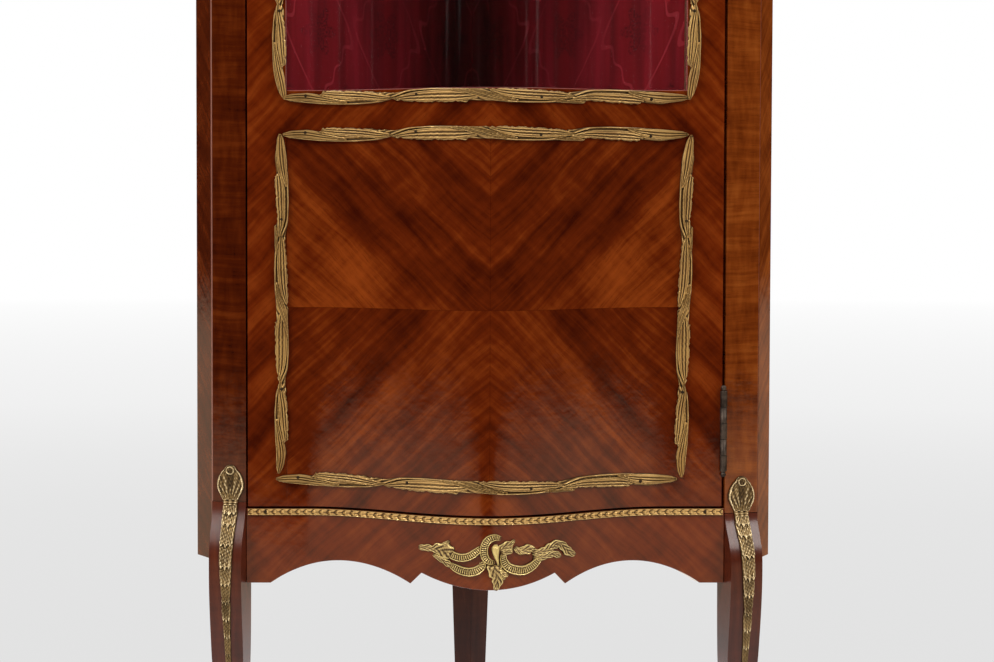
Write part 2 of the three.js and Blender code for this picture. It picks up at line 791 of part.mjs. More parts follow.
function apronMount() {
  const outline = apronMountShares.map(([across, up]) => (
    vec(apronMountOffset + across * apronMountHalfWidth, apronMountCentre + up * apronMountHeight)));
  const reach = apronMountHalfWidth + overrun;
  const layer = frontLayer(
    apronMountOffset - reach, apronMountOffset + reach, -seam - apronMountThickness, -seam,
    apronMountCentre - apronMountHeight, apronMountCentre + apronMountHeight,
  );
  const front = -frontSwell - 2 * overrun - apronMountThickness;
  return common(layer, elevation(new THREE.Shape(outline), front, overrun));
}

// Butt hinges on the right; offsets run from the opening's side towards the door

const hingeAxis = vec(halfOpening - hingeInset, -knuckleRadius - seam);
const hingeBottoms = [doorBottom + hingeEndDistance, doorTop - hingeEndDistance - hingeHeight];
const leafSunk = leafThickness - leafProud;

const sidePoint = (offset, depth) => openingEdge.clone()
  .addScaledVector(openingSide.inward, offset).addScaledVector(openingSide.direction, depth);

const sideStrip = (offsets, depths) => [
  sidePoint(offsets[0], depths[0]), sidePoint(offsets[1], depths[0]),
  sidePoint(offsets[1], depths[1]), sidePoint(offsets[0], depths[1]),
];

const carcassLeafPocket = (bottom) => prism(
  sideStrip([-leafSunk - seam, overrun], [-overrun, leafWidth + seam]),
  bottom - seam, bottom + hingeHeight + seam);

const doorLeafPocket = (bottom) => prism(
  sideStrip([-overrun, doorGap + leafSunk + seam], [-overrun, leafWidth + seam]),
  bottom - seam, bottom + hingeHeight + seam);

function hingeLeaf(bottom, offsets, odd) {
  const pitch = hingeHeight / knuckleCount;
  const plateFront = leafProud + knuckleGap;
  const plate = prism(sideStrip(offsets, [plateFront, leafWidth]), bottom, bottom + hingeHeight);
  const knuckles = Array.from({ length: knuckleCount }, (_, i) => i).filter((i) => (i % 2 === 1) === odd);
  const solids = knuckles.flatMap((i) => {
    const low = bottom + i * pitch + (i > 0 ? knuckleGap / 2 : 0);
    const high = bottom + (i + 1) * pitch - (i + 1 < knuckleCount ? knuckleGap / 2 : 0);
    const strip = sideStrip(offsets, [-knuckleRadius, plateFront + leafThickness]);
    return [prism(strip, low, high), uprightRod(knuckleRadius, low, high, hingeAxis)];
  });
  const bore = uprightRod(hingePinRadius + seam, bottom - overrun, bottom + hingeHeight + overrun,
    hingeAxis);
  return cut(join(plate, ...solids), bore);
}

const carcassLeaf = (bottom) => hingeLeaf(bottom, [-leafSunk, leafProud], false);
const doorLeaf = (bottom) => hingeLeaf(bottom, [doorGap - leafProud, doorGap + leafSunk], true);

function hingePin(bottom) {
  const top = bottom + hingeHeight;
  const ball = (z, up) => Array.from({ length: roundSides / 2 }, (_, i) => {
    const turn = Math.PI * (i + 1) / (roundSides / 2 + 1);
    return vec(finialRadius * Math.sin(turn), z - up * finialRadius * Math.cos(turn));
  });
  const lowBall = ball(bottom - seam - finialRadius, 1);
  const highBall = ball(top + seam + finialRadius, 1);
  const profile = [
    vec(0, bottom - seam - 2 * finialRadius),
    ...lowBall.filter((p) => p.y < bottom - seam - finialRadius / 3),
    vec(hingePinRadius, bottom - seam),
    vec(hingePinRadius, top + seam),
    ...highBall.filter((p) => p.y > top + seam + finialRadius / 3),
    vec(0, top + seam + 2 * finialRadius),
  ];
  return new THREE.LatheGeometry(profile, roundSides)
    .rotateX(Math.PI / 2).translate(hingeAxis.x, hingeAxis.y, 0);
}

// Lock on the left door stile; the bolt slides towards -X when the key turns

const keyX = -(doorEdgeAt(0).x - keyEdgeDistance);
const keyZ = lockHeight - keyDrop;
const caseLeft = -doorEdgeAt(doorThickness).x + lockCaseEdgeGap;
const caseRight = -halfSight - seam;
const caseFront = doorThickness + seam;
const caseBack = caseFront + lockCaseDepth;
const boltFront = caseFront + lockCaseWall + slidingGap;
const boltBottom = keyZ + keyBitRadius + 2 * slidingGap;
const boltY = [boltFront, boltFront + boltThickness];
const boltZ = [boltBottom, boltBottom + boltHeight];
const boltX = [caseLeft + seam, caseLeft + seam + boltLength];

const keyhole = () => levelRod(keyShaftRadius + slidingGap, -overrun, doorThickness + overrun, keyX, keyZ);

function strikePocket() {
  const grow = (range) => [range[0] - slidingGap, range[1] + slidingGap];
  return block([boltX[0] - boltThrow - slidingGap, boltX[0] + overrun], grow(boltY), grow(boltZ));
}

function lockCase() {
  const half = lockCaseHeight / 2;
  const body = block([caseLeft, caseRight], [caseFront, caseBack],
    [lockHeight - half, lockHeight + half]);
  const hollow = block([caseLeft + lockCaseWall, caseRight - lockCaseWall],
    [caseFront + lockCaseWall, caseBack - lockCaseWall],
    [lockHeight - half + lockCaseWall, lockHeight + half - lockCaseWall]);
  const slot = block([caseLeft - overrun, caseLeft + overrun],
    [boltY[0] - slidingGap, boltY[1] + slidingGap], [boltZ[0] - slidingGap, boltZ[1] + slidingGap]);
  const entry = levelRod(keyShaftRadius + slidingGap, -overrun, caseFront + overrun, keyX, keyZ);
  return cut(body, hollow, slot, entry);
}

const lockBolt = () => block(boltX, boltY, boltZ);

function escutcheon() {
  const [w, h] = [escutcheonWidth / 2, escutcheonHeight / 2];
  const edge = Array.from({ length: 2 * roundSides }, (_, i) => {
    const turn = 2 * Math.PI * i / (2 * roundSides);
    const lobe = 1 - Math.sin(3 * turn) ** 2 / 6;
    return vec(keyX + w * lobe * Math.cos(turn), lockHeight + h * lobe * Math.sin(turn));
  });
  const plate = elevation(new THREE.Shape(edge), -seam - escutcheonThickness, -seam);
  return cut(plate, levelRod(keyShaftRadius + slidingGap, -overrun, overrun, keyX, keyZ));
}

function key() {
  const shaftEnd = caseBack - lockCaseWall - slidingGap;
  const bowCentre = -keyReach;
  const shaft = levelRod(keyShaftRadius, bowCentre + keyBowRadius / 2, shaftEnd, keyX, keyZ);
  const collar = levelRod(keyShaftRadius + keyShaftRadius / 2, -escutcheonThickness - keyBowThickness,
    -escutcheonThickness - 2 * seam, keyX, keyZ);
  const ring = new THREE.Shape().absarc(0, 0, keyBowRadius, 0, 2 * Math.PI);
  ring.holes.push(new THREE.Path().absarc(0, 0, keyBowRadius / 2, 0, 2 * Math.PI));
  const options = { depth: keyBowThickness, bevelEnabled: false, curveSegments: roundSides };
  const bow = new THREE.ExtrudeGeometry(ring, options)
    .rotateY(Math.PI / 2).translate(keyX - keyBowThickness / 2, bowCentre - keyBowRadius / 3, keyZ);
  const bit = block([keyX - keyShaftRadius / 2, keyX + keyShaftRadius / 2], [boltFront, shaftEnd],
    [keyZ - keyBitRadius, keyZ]);
  return join(shaft, collar, bow, bit);
}

// Assembly

const cabinet = new THREE.Group();

function add(name, geometry, material) {
  const mesh = new THREE.Mesh(geometry, material);
  mesh.name = name;
  cabinet.add(mesh);
}

for (const [name, side] of [['left', -1], ['right', 1]]) {
  add(`${name}_front_stile`, frontStile(side), veneer);
  add(`${name}_front_leg`, frontLeg(side), veneer);
  add(`${name}_side_return`, sideReturn(side), veneer);
  add(`${name}_back_panel`, backPanel(side), caseWood);
  add(`${name}_lining`, lining(side), liningCloth);
  add(`${name}_sabot`, sabot(side), gilt);
  add(`${name}_knee_mount`, kneeMount(side), gilt);
  add(`${name}_cupboard_batten`, shelfBatten(side, cupboardShelfHeight - boardThickness, seam), caseWood);
  add(`${name}_lower_shelf_batten`, shelfBatten(side, lowerShelfHeight, linedGap), caseWood);
  add(`${name}_upper_shelf_batten`, shelfBatten(side, upperShelfHeight, linedGap), caseWood);
}
add('rear_leg_post', rearLegPost(), veneer);
add('bottom_board', bottomBoard(), caseWood);
add('cupboard_shelf', caseBoard(cupboardShelfHeight), caseWood);
add('display_floor', caseBoard(displayFloorTop), caseWood);
add('top_board', caseBoard(doorTop), caseWood);
add('lower_glass_shelf', glassShelf(lowerShelfHeight), glass);
add('upper_glass_shelf', glassShelf(upperShelfHeight), glass);
add('apron_rail', apronRail(), veneer);
add('frieze_rail', railBetweenStiles(friezeBottom, corniceBottom - seam), veneer);
add('cornice_moulding', cornice(), veneer);
add('apron_band', giltBand(apronTop - bandHeight / 2), gilt);
add('frieze_band', giltBand(friezeBottom + bandHeight), gilt);
add('apron_mount', apronMount(), gilt);

add('door_lock_stile', doorStile(-1), veneer);
add('door_hinge_stile', doorStile(1), veneer);
add('door_top_rail', doorTopRail(), veneer);
add('door_middle_rail', doorMiddleRail(), veneer);
add('door_bottom_rail', doorBottomRail(), veneer);
add('door_panel', doorPanel(), quarteredVeneer);
add('door_glass', doorGlass(), glass);
add('glazing_bead', glazingBead(), caseWood);

// The panel's frame sits a little to the left of the middle, its bottom piece most of all
for (const [name, x, low, high, offset, bottomOffset] of [
  ['glass', glassFrameX, glassFrameLow, glassFrameHigh, 0, 0],
  ['panel', panelFrameX, panelFrameLow, panelFrameHigh, panelMouldingOffset, panelBottomMouldingOffset],
]) {
  add(`${name}_moulding_bottom`, levelMoulding(x, low, bottomOffset), gilt);
  add(`${name}_moulding_top`, levelMoulding(x, high, offset), gilt);
  const ends = [low + mouldingCornerGap, high - mouldingCornerGap];
  add(`${name}_moulding_left`, uprightMoulding(-1, x, ...ends, offset), gilt);
  add(`${name}_moulding_right`, uprightMoulding(1, x, ...ends, offset), gilt);
}

hingeBottoms.forEach((bottom, i) => {
  const name = ['lower', 'upper'][i];
  add(`${name}_hinge_case_leaf`, carcassLeaf(bottom), hingeBrass);
  add(`${name}_hinge_door_leaf`, doorLeaf(bottom), hingeBrass);
  add(`${name}_hinge_pin`, hingePin(bottom), hingeBrass);
});

add('lock_case', lockCase(), lockSteel);
add('lock_bolt', lockBolt(), lockSteel);
add('key', key(), hingeBrass);
add('escutcheon', escutcheon(), gilt);

// The origin is the middle of the overall box, on the floor
const box = new THREE.Box3().setFromObject(cabinet);
cabinet.position.y = -(box.min.y + box.max.y) / 2;

export default cabinet;
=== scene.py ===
import json
import math
from contextlib import contextmanager

import bmesh
import bpy
import numpy as np
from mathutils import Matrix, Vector

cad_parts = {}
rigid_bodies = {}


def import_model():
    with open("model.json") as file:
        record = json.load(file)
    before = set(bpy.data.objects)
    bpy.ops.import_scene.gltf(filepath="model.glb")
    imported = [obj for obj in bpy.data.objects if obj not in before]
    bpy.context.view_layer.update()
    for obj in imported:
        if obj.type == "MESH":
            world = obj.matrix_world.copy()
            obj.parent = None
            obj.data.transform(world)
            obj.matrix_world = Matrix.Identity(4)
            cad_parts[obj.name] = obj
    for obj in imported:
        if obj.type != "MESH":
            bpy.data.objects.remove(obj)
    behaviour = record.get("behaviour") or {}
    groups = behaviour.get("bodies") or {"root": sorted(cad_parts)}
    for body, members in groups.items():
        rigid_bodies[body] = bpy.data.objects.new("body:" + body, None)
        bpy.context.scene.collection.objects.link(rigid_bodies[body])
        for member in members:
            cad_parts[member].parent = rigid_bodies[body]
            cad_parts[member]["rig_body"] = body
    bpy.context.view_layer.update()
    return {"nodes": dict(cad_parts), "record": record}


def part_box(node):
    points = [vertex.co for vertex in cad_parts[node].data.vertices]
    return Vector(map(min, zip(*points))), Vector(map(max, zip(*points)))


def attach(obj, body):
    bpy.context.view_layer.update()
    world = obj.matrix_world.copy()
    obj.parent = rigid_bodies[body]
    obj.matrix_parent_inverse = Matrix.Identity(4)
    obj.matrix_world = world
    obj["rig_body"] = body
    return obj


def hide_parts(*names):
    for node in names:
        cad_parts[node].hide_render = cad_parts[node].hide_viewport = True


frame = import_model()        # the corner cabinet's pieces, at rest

# Plan of the cabinet, in metres: the front swells between two flats, the stiles are canted
HALF_OPENING = 0.256
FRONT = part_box("door_lock_stile")[0].y
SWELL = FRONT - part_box("door_panel")[0].y
SWELL_REACH = 0.75 * HALF_OPENING
STILE_CANT = math.radians(14)
STILE_FACE = 0.0377
STILE_DEPTH = 0.034
RETURN_SPLAY = math.radians(25.5)
RETURN_WIDTH = 0.0422
RETURN_THICKNESS = 0.012
BACK_THICKNESS = 0.008
POST_SIDE = 0.034
DOOR_THICKNESS = 0.022
GLASS_DEPTH = 0.0083
GLASS_THICKNESS = 0.003
REBATE = 0.0065
SEAM = 0.0003
MM = 0.001

PANEL_LOW, PANEL_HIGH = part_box("door_panel")[0].z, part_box("door_panel")[1].z
SIGHT_LOW, SIGHT_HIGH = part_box("door_middle_rail")[1].z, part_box("door_top_rail")[0].z
HALF_SIGHT = 0.2125
PANEL_MIDDLE = (PANEL_LOW + PANEL_HIGH) / 2
KNEE_TOP = {-1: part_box("left_front_leg")[1].z, 1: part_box("right_front_leg")[1].z}
SIDES = (("left", -1), ("right", 1))


# Drawing in plan

def front_at(x):
    """Depth of the front's surface at x."""
    swell = np.cos(np.pi * np.asarray(x) / (2 * SWELL_REACH)) ** 2
    return FRONT - SWELL * np.where(np.abs(x) < SWELL_REACH, swell, 0)


def plan_line(point, direction, inward):
    return Vector(point), Vector(direction), Vector(inward)


def shifted(line, distance):
    return line[0] + line[2] * distance, line[1], line[2]


def meet(a, b):
    gap = b[0] - a[0]
    travel = gap.cross(b[1]) / a[1].cross(b[1])
    return a[0] + a[1] * travel


ALONG_STILE = Vector((math.cos(STILE_CANT), math.sin(STILE_CANT)))
INTO_STILE = Vector((-ALONG_STILE.y, ALONG_STILE.x))
ALONG_RETURN = Vector((math.sin(RETURN_SPLAY), math.cos(RETURN_SPLAY)))
INTO_RETURN = Vector((-ALONG_RETURN.y, ALONG_RETURN.x))
ALONG_WALL = Vector((-1, 1)).normalized()
INTO_WALL = Vector((-1, -1)).normalized()

OPENING_EDGE = Vector((HALF_OPENING, FRONT))
FRONT_ARRIS = OPENING_EDGE + ALONG_STILE * STILE_FACE
WALL_START = FRONT_ARRIS + ALONG_RETURN * RETURN_WIDTH
REAR_CORNER = Vector((0, WALL_START.x + WALL_START.y))

STILE_LINE = plan_line(OPENING_EDGE, ALONG_STILE, INTO_STILE)
STILE_REAR = shifted(STILE_LINE, STILE_DEPTH)
OPENING_SIDE = plan_line(OPENING_EDGE, INTO_STILE, -ALONG_STILE)
RETURN_LINE = plan_line(FRONT_ARRIS, ALONG_RETURN, INTO_RETURN)
WALL_LINE = plan_line(WALL_START, ALONG_WALL, INTO_WALL)
POST_LINE = plan_line(REAR_CORNER - ALONG_WALL * POST_SIDE, INTO_WALL, -ALONG_WALL)
CENTRE_LINE = plan_line((0, 0), (0, 1), (-1, 0))
RETURN_INNER = shifted(RETURN_LINE, RETURN_THICKNESS + SEAM)
MITRE_LINE = plan_line(
    FRONT_ARRIS,
    meet(shifted(STILE_LINE, RETURN_THICKNESS), shifted(RETURN_LINE, RETURN_THICKNESS)) - FRONT_ARRIS,
    ALONG_RETURN,
)


def across_line(depth):
    return plan_line((0, FRONT + depth), (1, 0), (0, 1))


def on_stile(across, out, side):
    """Plan x and y of a point across the stile's face and out in front of it."""
    x = OPENING_EDGE.x + ALONG_STILE.x * across - INTO_STILE.x * out
    y = OPENING_EDGE.y + ALONG_STILE.y * across - INTO_STILE.y * out
    return side * x, y


# Modelling

def only(piece):
    bpy.ops.object.select_all(action="DESELECT")
    piece.select_set(True)
    bpy.context.view_layer.objects.active = piece


@contextmanager
def editing(piece, kind="FACE"):
    """Edit mode with everything selected."""
    only(piece)
    bpy.ops.object.mode_set(mode="EDIT")
    bpy.ops.mesh.select_mode(type=kind)
    bpy.ops.mesh.select_all(action="SELECT")
    yield
    bpy.ops.object.mode_set(mode="OBJECT")


def corners(piece):
    points = np.empty(len(piece.data.vertices) * 3)
    piece.data.vertices.foreach_get("co", points)
    return points.reshape(-1, 3)


def set_corners(piece, points):
    piece.data.vertices.foreach_set("co", np.asarray(points, float).ravel())
    piece.data.update()


def chosen(piece):
    picked = np.empty(len(piece.data.vertices), bool)
    piece.data.vertices.foreach_get("select", picked)
    return picked


def added(name):
    piece = bpy.context.object
    piece.name = name
    return piece


def fresh(name, add, **settings):
    """A new piece from the operator that adds one of the primitives."""
    bpy.ops.object.select_all(action="DESELECT")
    add(**settings)
    return added(name)


def linked(name, data):
    piece = bpy.data.objects.new(name, data)
    bpy.context.scene.collection.objects.link(piece)
    return piece


def turns(steps):
    """Angles spread evenly over a full turn."""
    return np.linspace(0, 2 * math.pi, steps, endpoint=False)


def face_out(piece):
    with editing(piece):
        bpy.ops.mesh.normals_make_consistent(inside=False)


def modify(piece, kind, **settings):
    only(piece)
    modifier = piece.modifiers.new(kind.lower(), kind)
    for key, value in settings.items():
        setattr(modifier, key, value)
    bpy.ops.object.modifier_apply(modifier=modifier.name)


def soften(piece, width=0.5 * MM, steps=2, angle=35):
    """Rounds the sharp edges, then shades the rest smooth."""
    modify(piece, "BEVEL", width=width, segments=steps, limit_method="ANGLE",
           angle_limit=math.radians(angle), use_clamp_overlap=True)
    smooth(piece, angle)
    modify(piece, "WEIGHTED_NORMAL", keep_sharp=True)


def smooth(piece, angle=35):
    only(piece)
    bpy.ops.object.shade_smooth_by_angle(angle=math.radians(angle))


def joined(name, pieces):
    """One piece from several."""
    only(pieces[0])
    for piece in pieces[1:]:
        piece.select_set(True)
    bpy.ops.object.join()
    return added(name)


def flat_grid(name, columns, rows):
    return fresh(name, bpy.ops.mesh.primitive_grid_add, x_subdivisions=columns, y_subdivisions=rows, size=1)


def shares_of(piece):
    """The u and v from 0 to 1 of a flat grid's corners."""
    return (corners(piece)[:, :2] + 0.5).T


def sheet_grid(name, columns, rows, place):
    """Sheet of faces over u and v from 0 to 1; place gives the x, y and z of its corners."""
    piece = flat_grid(name, columns, rows)
    set_corners(piece, np.column_stack(place(*shares_of(piece))))
    return piece


def set_hollow(piece, values):
    hollow = piece.data.attributes.new("hollow", "FLOAT", "POINT")
    hollow.data.foreach_set("value", values)


def cavities(height, rows):
    """How far each point of a relief lies below those around it: 1 in a pit, below 0 on a crest."""
    field = height.reshape(rows + 1, -1)
    around = field
    for axis in (0, 1):
        edge = np.pad(around, [(2, 2) if a == axis else (0, 0) for a in (0, 1)], mode="edge")
        parts = [np.take(edge, np.arange(k, k + around.shape[axis]), axis=axis) for k in range(5)]
        around = sum(parts) / 5
    sunk = 0.22 + 6.5 * (around - field) / field.max() + 0.3 * (1 - field / field.max()) ** 2
    return np.clip(sunk, -0.5, 1).ravel()


def casting(name, columns, rows, relief, place, painted_glint=lambda u, v: 0):
    """Closed cast piece over u and v: relief gives its thickness, place its x, y and z, and the last function
    where a painted highlight lightens it.
    """
    piece = flat_grid(name, columns, rows)
    u, v = shares_of(piece)
    # The hollow measure is lowered where the painted highlight goes, which turns those spots to the pale
    # crest colour
    set_hollow(piece, cavities(relief(u, v), rows) - painted_glint(u, v))
    with editing(piece):
        bpy.ops.mesh.extrude_region_move(TRANSFORM_OT_translate={"value": (0, 0, -1)})
    u, v = shares_of(piece)
    height = relief(u, v) * (corners(piece)[:, 2] > -0.5)
    set_corners(piece, np.column_stack(place(u, v, height)))
    face_out(piece)
    smooth(piece, 50)
    return piece


def loft(name, rings, capped=True):
    """Skin over rings of points, each extruded from the last; with no caps the last joins the first."""
    piece = fresh(name, bpy.ops.mesh.primitive_circle_add, vertices=len(rings[0]), fill_type="NOTHING")
    set_corners(piece, rings[0])
    with editing(piece, "EDGE"):
        for ring in rings[1:]:
            bpy.ops.mesh.extrude_edges_move()
            mesh = bmesh.from_edit_mesh(piece.data)
            for corner, point in zip([v for v in mesh.verts if v.select], ring):
                corner.co = point
            bmesh.update_edit_mesh(piece.data)
        bpy.ops.mesh.select_all(action="DESELECT")
        bpy.ops.mesh.select_non_manifold()
        if capped:
            bpy.ops.mesh.fill_holes(sides=0)
        else:
            bpy.ops.mesh.bridge_edge_loops()
    face_out(piece)
    return piece


def bowed_bar(name, section, half_length, steps=100):
    """Bar whose section of depths and heights follows the front."""
    stations = np.linspace(-half_length, half_length, steps + 1)
    return loft(name, [[(x, front_at(x) + depth, z) for depth, z in section] for x in stations])


def front_board(name, stations, low, high, near, far, narrowing=1.0, rows=4):
    """Board that follows the front, with its edges' heights given at each station."""
    count = len(stations)

    def edges(u):
        at = u * (count - 1)
        return [np.interp(at, np.arange(count), np.broadcast_to(v, count)) for v in (stations, low, high)]

    def face(u, v):
        x, bottom, top = edges(u)
        return x, front_at(x) + near, bottom + v * (top - bottom)

    piece = sheet_grid(name, count - 1, rows, face)
    with editing(piece):
        bpy.ops.mesh.extrude_region_move()
    points = corners(piece)
    picked = chosen(piece)
    points[picked, 1] += far - near
    points[picked, 0] *= narrowing
    set_corners(piece, points)
    face_out(piece)
    return piece


# Setting a piece in its place

def body_of(node):
    return frame["nodes"][node]["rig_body"]


def slot_of(node):
    return next(row["material_slot"] for row in frame["record"]["subparts"] if row["node"] == node)


def stand_for(piece, node, material):
    """The piece takes the node's place, its body and its finish."""
    piece.data.materials.clear()
    piece.data.materials.append(material)
    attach(piece, body_of(node))
    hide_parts(node)
    slot_of(node)
    return piece


def dress(node, material, width=0.5 * MM, steps=2, angle=35):
    """A copy of a plain piece, its facets merged and its edges eased."""
    piece = linked(f"{node}_finished", frame["nodes"][node].data.copy())
    with editing(piece):
        bpy.ops.mesh.remove_doubles(threshold=0.002 * MM)
        bpy.ops.mesh.dissolve_limited(angle_limit=math.radians(0.4))
    soften(piece, width, steps, angle)
    return stand_for(piece, node, material)


# Finishes

class Value:
    """A shader value that takes plain arithmetic."""

    def __init__(self, finish, socket):
        self.finish = finish
        self.socket = socket

    def math(self, operation, other=0.0):
        return self.finish.add("Math", {0: self, 1: other}, operation=operation)

    def __add__(self, other):
        return self.math("ADD", other)

    def __sub__(self, other):
        return self.math("SUBTRACT", other)

    def __mul__(self, other):
        return self.math("MULTIPLY", other)

    def __truediv__(self, other):
        return self.math("DIVIDE", other)

    def __pow__(self, other):
        return self.math("POWER", other)

    def __lt__(self, other):
        return self.math("LESS_THAN", other)

    def __gt__(self, other):
        return self.math("GREATER_THAN", other)

    def __abs__(self):
        return self.math("ABSOLUTE")

    def __neg__(self):
        return self * -1.0


class Finish:
    """The nodes of a material, or of the world, with short ways to add to them."""

    def __init__(self, owner):
        self.owner = owner
        self.owner.use_nodes = True
        self.nodes = self.owner.node_tree.nodes
        self.links = self.owner.node_tree.links

    def add(self, kind, inputs=(), output=0, **settings):
        node = self.nodes.new(f"ShaderNode{kind}")
        for key, value in settings.items():
            setattr(node, key, value)
        for key, value in dict(inputs).items():
            self.feed(node.inputs[key], value)
        return Value(self, node.outputs[output])

    def feed(self, socket, value):
        if isinstance(value, Value):
            self.links.new(value.socket, socket)
        else:
            socket.default_value = (*value, 1) if isinstance(value, tuple) else value

    def surface(self, **values):
        """Sets the shader's own sockets; underscores stand for spaces."""
        for key, value in values.items():
            self.feed(self.nodes["Principled BSDF"].inputs[key.replace("_", " ")], value)

    def split(self, where):
        outputs = self.add("SeparateXYZ", {0: where}).socket.node.outputs
        return [Value(self, output) for output in outputs]

    def place(self):
        return self.split(self.add("TexCoord", output="Object"))

    def noise(self, x, y, z=0.0, scale=1.0, detail=2.0, roughness=0.55):
        where = self.add("CombineXYZ", {0: x, 1: y, 2: z})
        inputs = {"Vector": where, "Scale": scale, "Detail": detail, "Roughness": roughness}
        return self.add("TexNoise", inputs, "Fac")

    def ramp(self, amount, *stops):
        value = self.add("ValToRGB", {0: amount})
        line = value.socket.node.color_ramp.elements
        while len(line) < len(stops):
            line.new(0.5)
        for stop, (at, colour) in zip(line, stops):
            stop.position = at
            stop.color = (*colour, 1) if isinstance(colour, tuple) else (colour, colour, colour, 1)
        return value

    def mix(self, amount, a, b, kind="MIX"):
        return self.add("Mix", {0: amount, 6: a, 7: b}, 2, data_type="RGBA", blend_type=kind)

    def bump(self, height, distance, under=None):
        inputs = {"Height": height, "Distance": distance}
        if under is not None:
            inputs["Normal"] = under
        return self.add("Bump", inputs)

    def watched(self):
        """1 where the camera sees a thing itself or straight through glass."""
        ray = {name: self.add("LightPath", output=name) for name in (
            "Diffuse Depth", "Glossy Depth", "Is Transmission Ray", "Is Camera Ray")}
        first = (ray["Diffuse Depth"] + ray["Glossy Depth"]) < 0.5
        return (first * ray["Is Transmission Ray"]).math("MAXIMUM", ray["Is Camera Ray"])


def diagonal(a, b):
    """Coordinates across and along a grain that runs where a and b grow alike."""
    return (a - b) * math.sqrt(0.5), (a + b) * math.sqrt(0.5)


def radiating_grain(x, y, z):
    return diagonal(abs(x), abs(z - PANEL_MIDDLE))


def rising_grain(x, y, z):
    return diagonal(abs(x), -z)


def crossbanded_grain(x, y, z):
    return z, x


def return_grain(x, y, z):
    return diagonal(z, y)


def upright_grain(x, y, z):
    return x + y * 0.3, z


def level_grain(x, y, z):
    return y, x


def quarter_tones(finish, x, z):
    """Broad light and dark stripes of the panel, other in its lower leaves than in its upper ones."""
    rise = z - PANEL_MIDDLE
    across, _ = diagonal(abs(x), abs(rise))
    at = across * 2.9 + finish.noise(x * 9, z * 9) * 0.16 + 0.42
    upper = finish.ramp(at, (0.05, 0.40), (0.22, 0.56), (0.34, 0.46), (0.5, 0.30), (0.58, 0.40),
                        (0.66, 0.76), (0.76, 0.62), (0.84, 0.84), (1.0, 0.56))
    lower = finish.ramp(at, (0.05, 0.52), (0.24, 0.42), (0.4, 0.44), (0.48, 0.62), (0.53, 0.76),
                        (0.6, 0.40), (0.72, 0.34), (0.84, 0.50), (1.0, 0.34))
    return finish.mix(rise > 0.0, lower, upper)


HAIRLINE = 0.3 * MM
# Widths of the painted highlight lines along the front corner of stiles and returns and along the glass
# opening's sides and bottom
ARRIS_HIGHLIGHT_WIDTH = 0.75 * MM
SIGHT_HIGHLIGHT_WIDTH = 0.7 * MM


def veneered(name, grain, tones, gloss=0.9, joints=False, curl=0.12, arris_highlight=0.0, haze=0.07, stripes=0.4,
             sight_highlight=0.0):
    """Figured veneer under a clear polish: streaks along the grain, and where told a painted highlight, a
    thin pale line along the front corner of stiles and returns and round the glass opening.
    """
    finish = Finish(bpy.data.materials.new(name))
    x, y, z = finish.place()
    across, along = grain(x, y, z)
    across += finish.noise(across * 9, along * 7) * 0.022
    rise = z - PANEL_MIDDLE
    leaf = (rise > 0.0) * 3.0 if joints else 0.0
    streaks = finish.noise(across * 170, along * 8, leaf, detail=5)
    bands = finish.noise(across * 40, along * 5, leaf, detail=3)
    clouds = finish.noise(across * 17, along * 21, leaf, detail=3)
    ripple = finish.noise(across * 30, along * 120)
    figure = streaks * 0.38 + bands * stripes + clouds * 0.3 + ripple * curl
    figure += 0.16 - (stripes + curl) / 2
    if joints:
        figure += quarter_tones(finish, x, z) * 0.3 - 0.15
    dark, middle, light = tones
    pit = tuple(c * 0.3 for c in dark)
    colour = finish.ramp(figure, (0.34, dark), (0.5, middle), (0.68, light))
    pores = finish.ramp(finish.noise(across * 1900, along * 75), (0.30, 0.0), (0.42, 1.0))
    colour = finish.mix(pores * -0.4 + 0.4, colour, pit)
    if joints:
        joint = abs(x).math("MINIMUM", abs(rise)) < HAIRLINE
        colour = finish.mix(joint * 0.35, colour, pit)
    # Painted highlight: a thin pale line along the front corner of the stile and return
    if arris_highlight:
        painted_highlight = abs(abs(x) - FRONT_ARRIS.x) < ARRIS_HIGHLIGHT_WIDTH
        colour = finish.mix(painted_highlight * arris_highlight, colour, (0.36, 0.17, 0.13))
    # Painted highlight: a thin pale line along the sides and bottom of the glass opening
    if sight_highlight:
        out = (abs(x) - HALF_SIGHT).math("MAXIMUM", -z + SIGHT_LOW)
        colour = finish.mix((abs(out) < SIGHT_HIGHLIGHT_WIDTH) * sight_highlight, colour, (0.42, 0.15, 0.14))
    wear = finish.noise(x, y, z, scale=14, detail=4)
    peel = finish.noise(x, y, z, scale=90)
    finish.surface(Base_Color=colour, Roughness=wear * 0.18 + 0.26, Specular_IOR_Level=0.0,
                   Normal=finish.bump(pores, 0.03 * MM, finish.bump(peel, 0.12 * MM)),
                   Coat_Weight=gloss, Coat_Roughness=haze, Coat_IOR=1.5,
                   Coat_Normal=finish.bump(peel, 0.1 * MM))
    return finish.owner


def case_wood(name, grain):
    """Plain stained wood of the inside and the back."""
    finish = Finish(bpy.data.materials.new(name))
    across, along = grain(*finish.place())
    across += finish.noise(across * 6, along * 3) * 0.02
    lines = finish.noise(across * 190, along * 6, detail=5)
    broad = finish.noise(across * 34, along * 3, detail=3)
    colour = finish.ramp((lines + broad) * 0.5, (0.34, (0.035, 0.013, 0.006)), (0.5, (0.085, 0.034, 0.015)),
                         (0.66, (0.14, 0.062, 0.028)))
    pores = finish.ramp(finish.noise(across * 1500, along * 60), (0.34, 0.45), (0.46, 0.0))
    finish.surface(Base_Color=finish.mix(pores, colour, (0.014, 0.0052, 0.0024)),
                   Roughness=lines * 0.25 + 0.4, Specular_IOR_Level=0.35,
                   Normal=finish.bump(lines, 0.12 * MM))
    return finish.owner


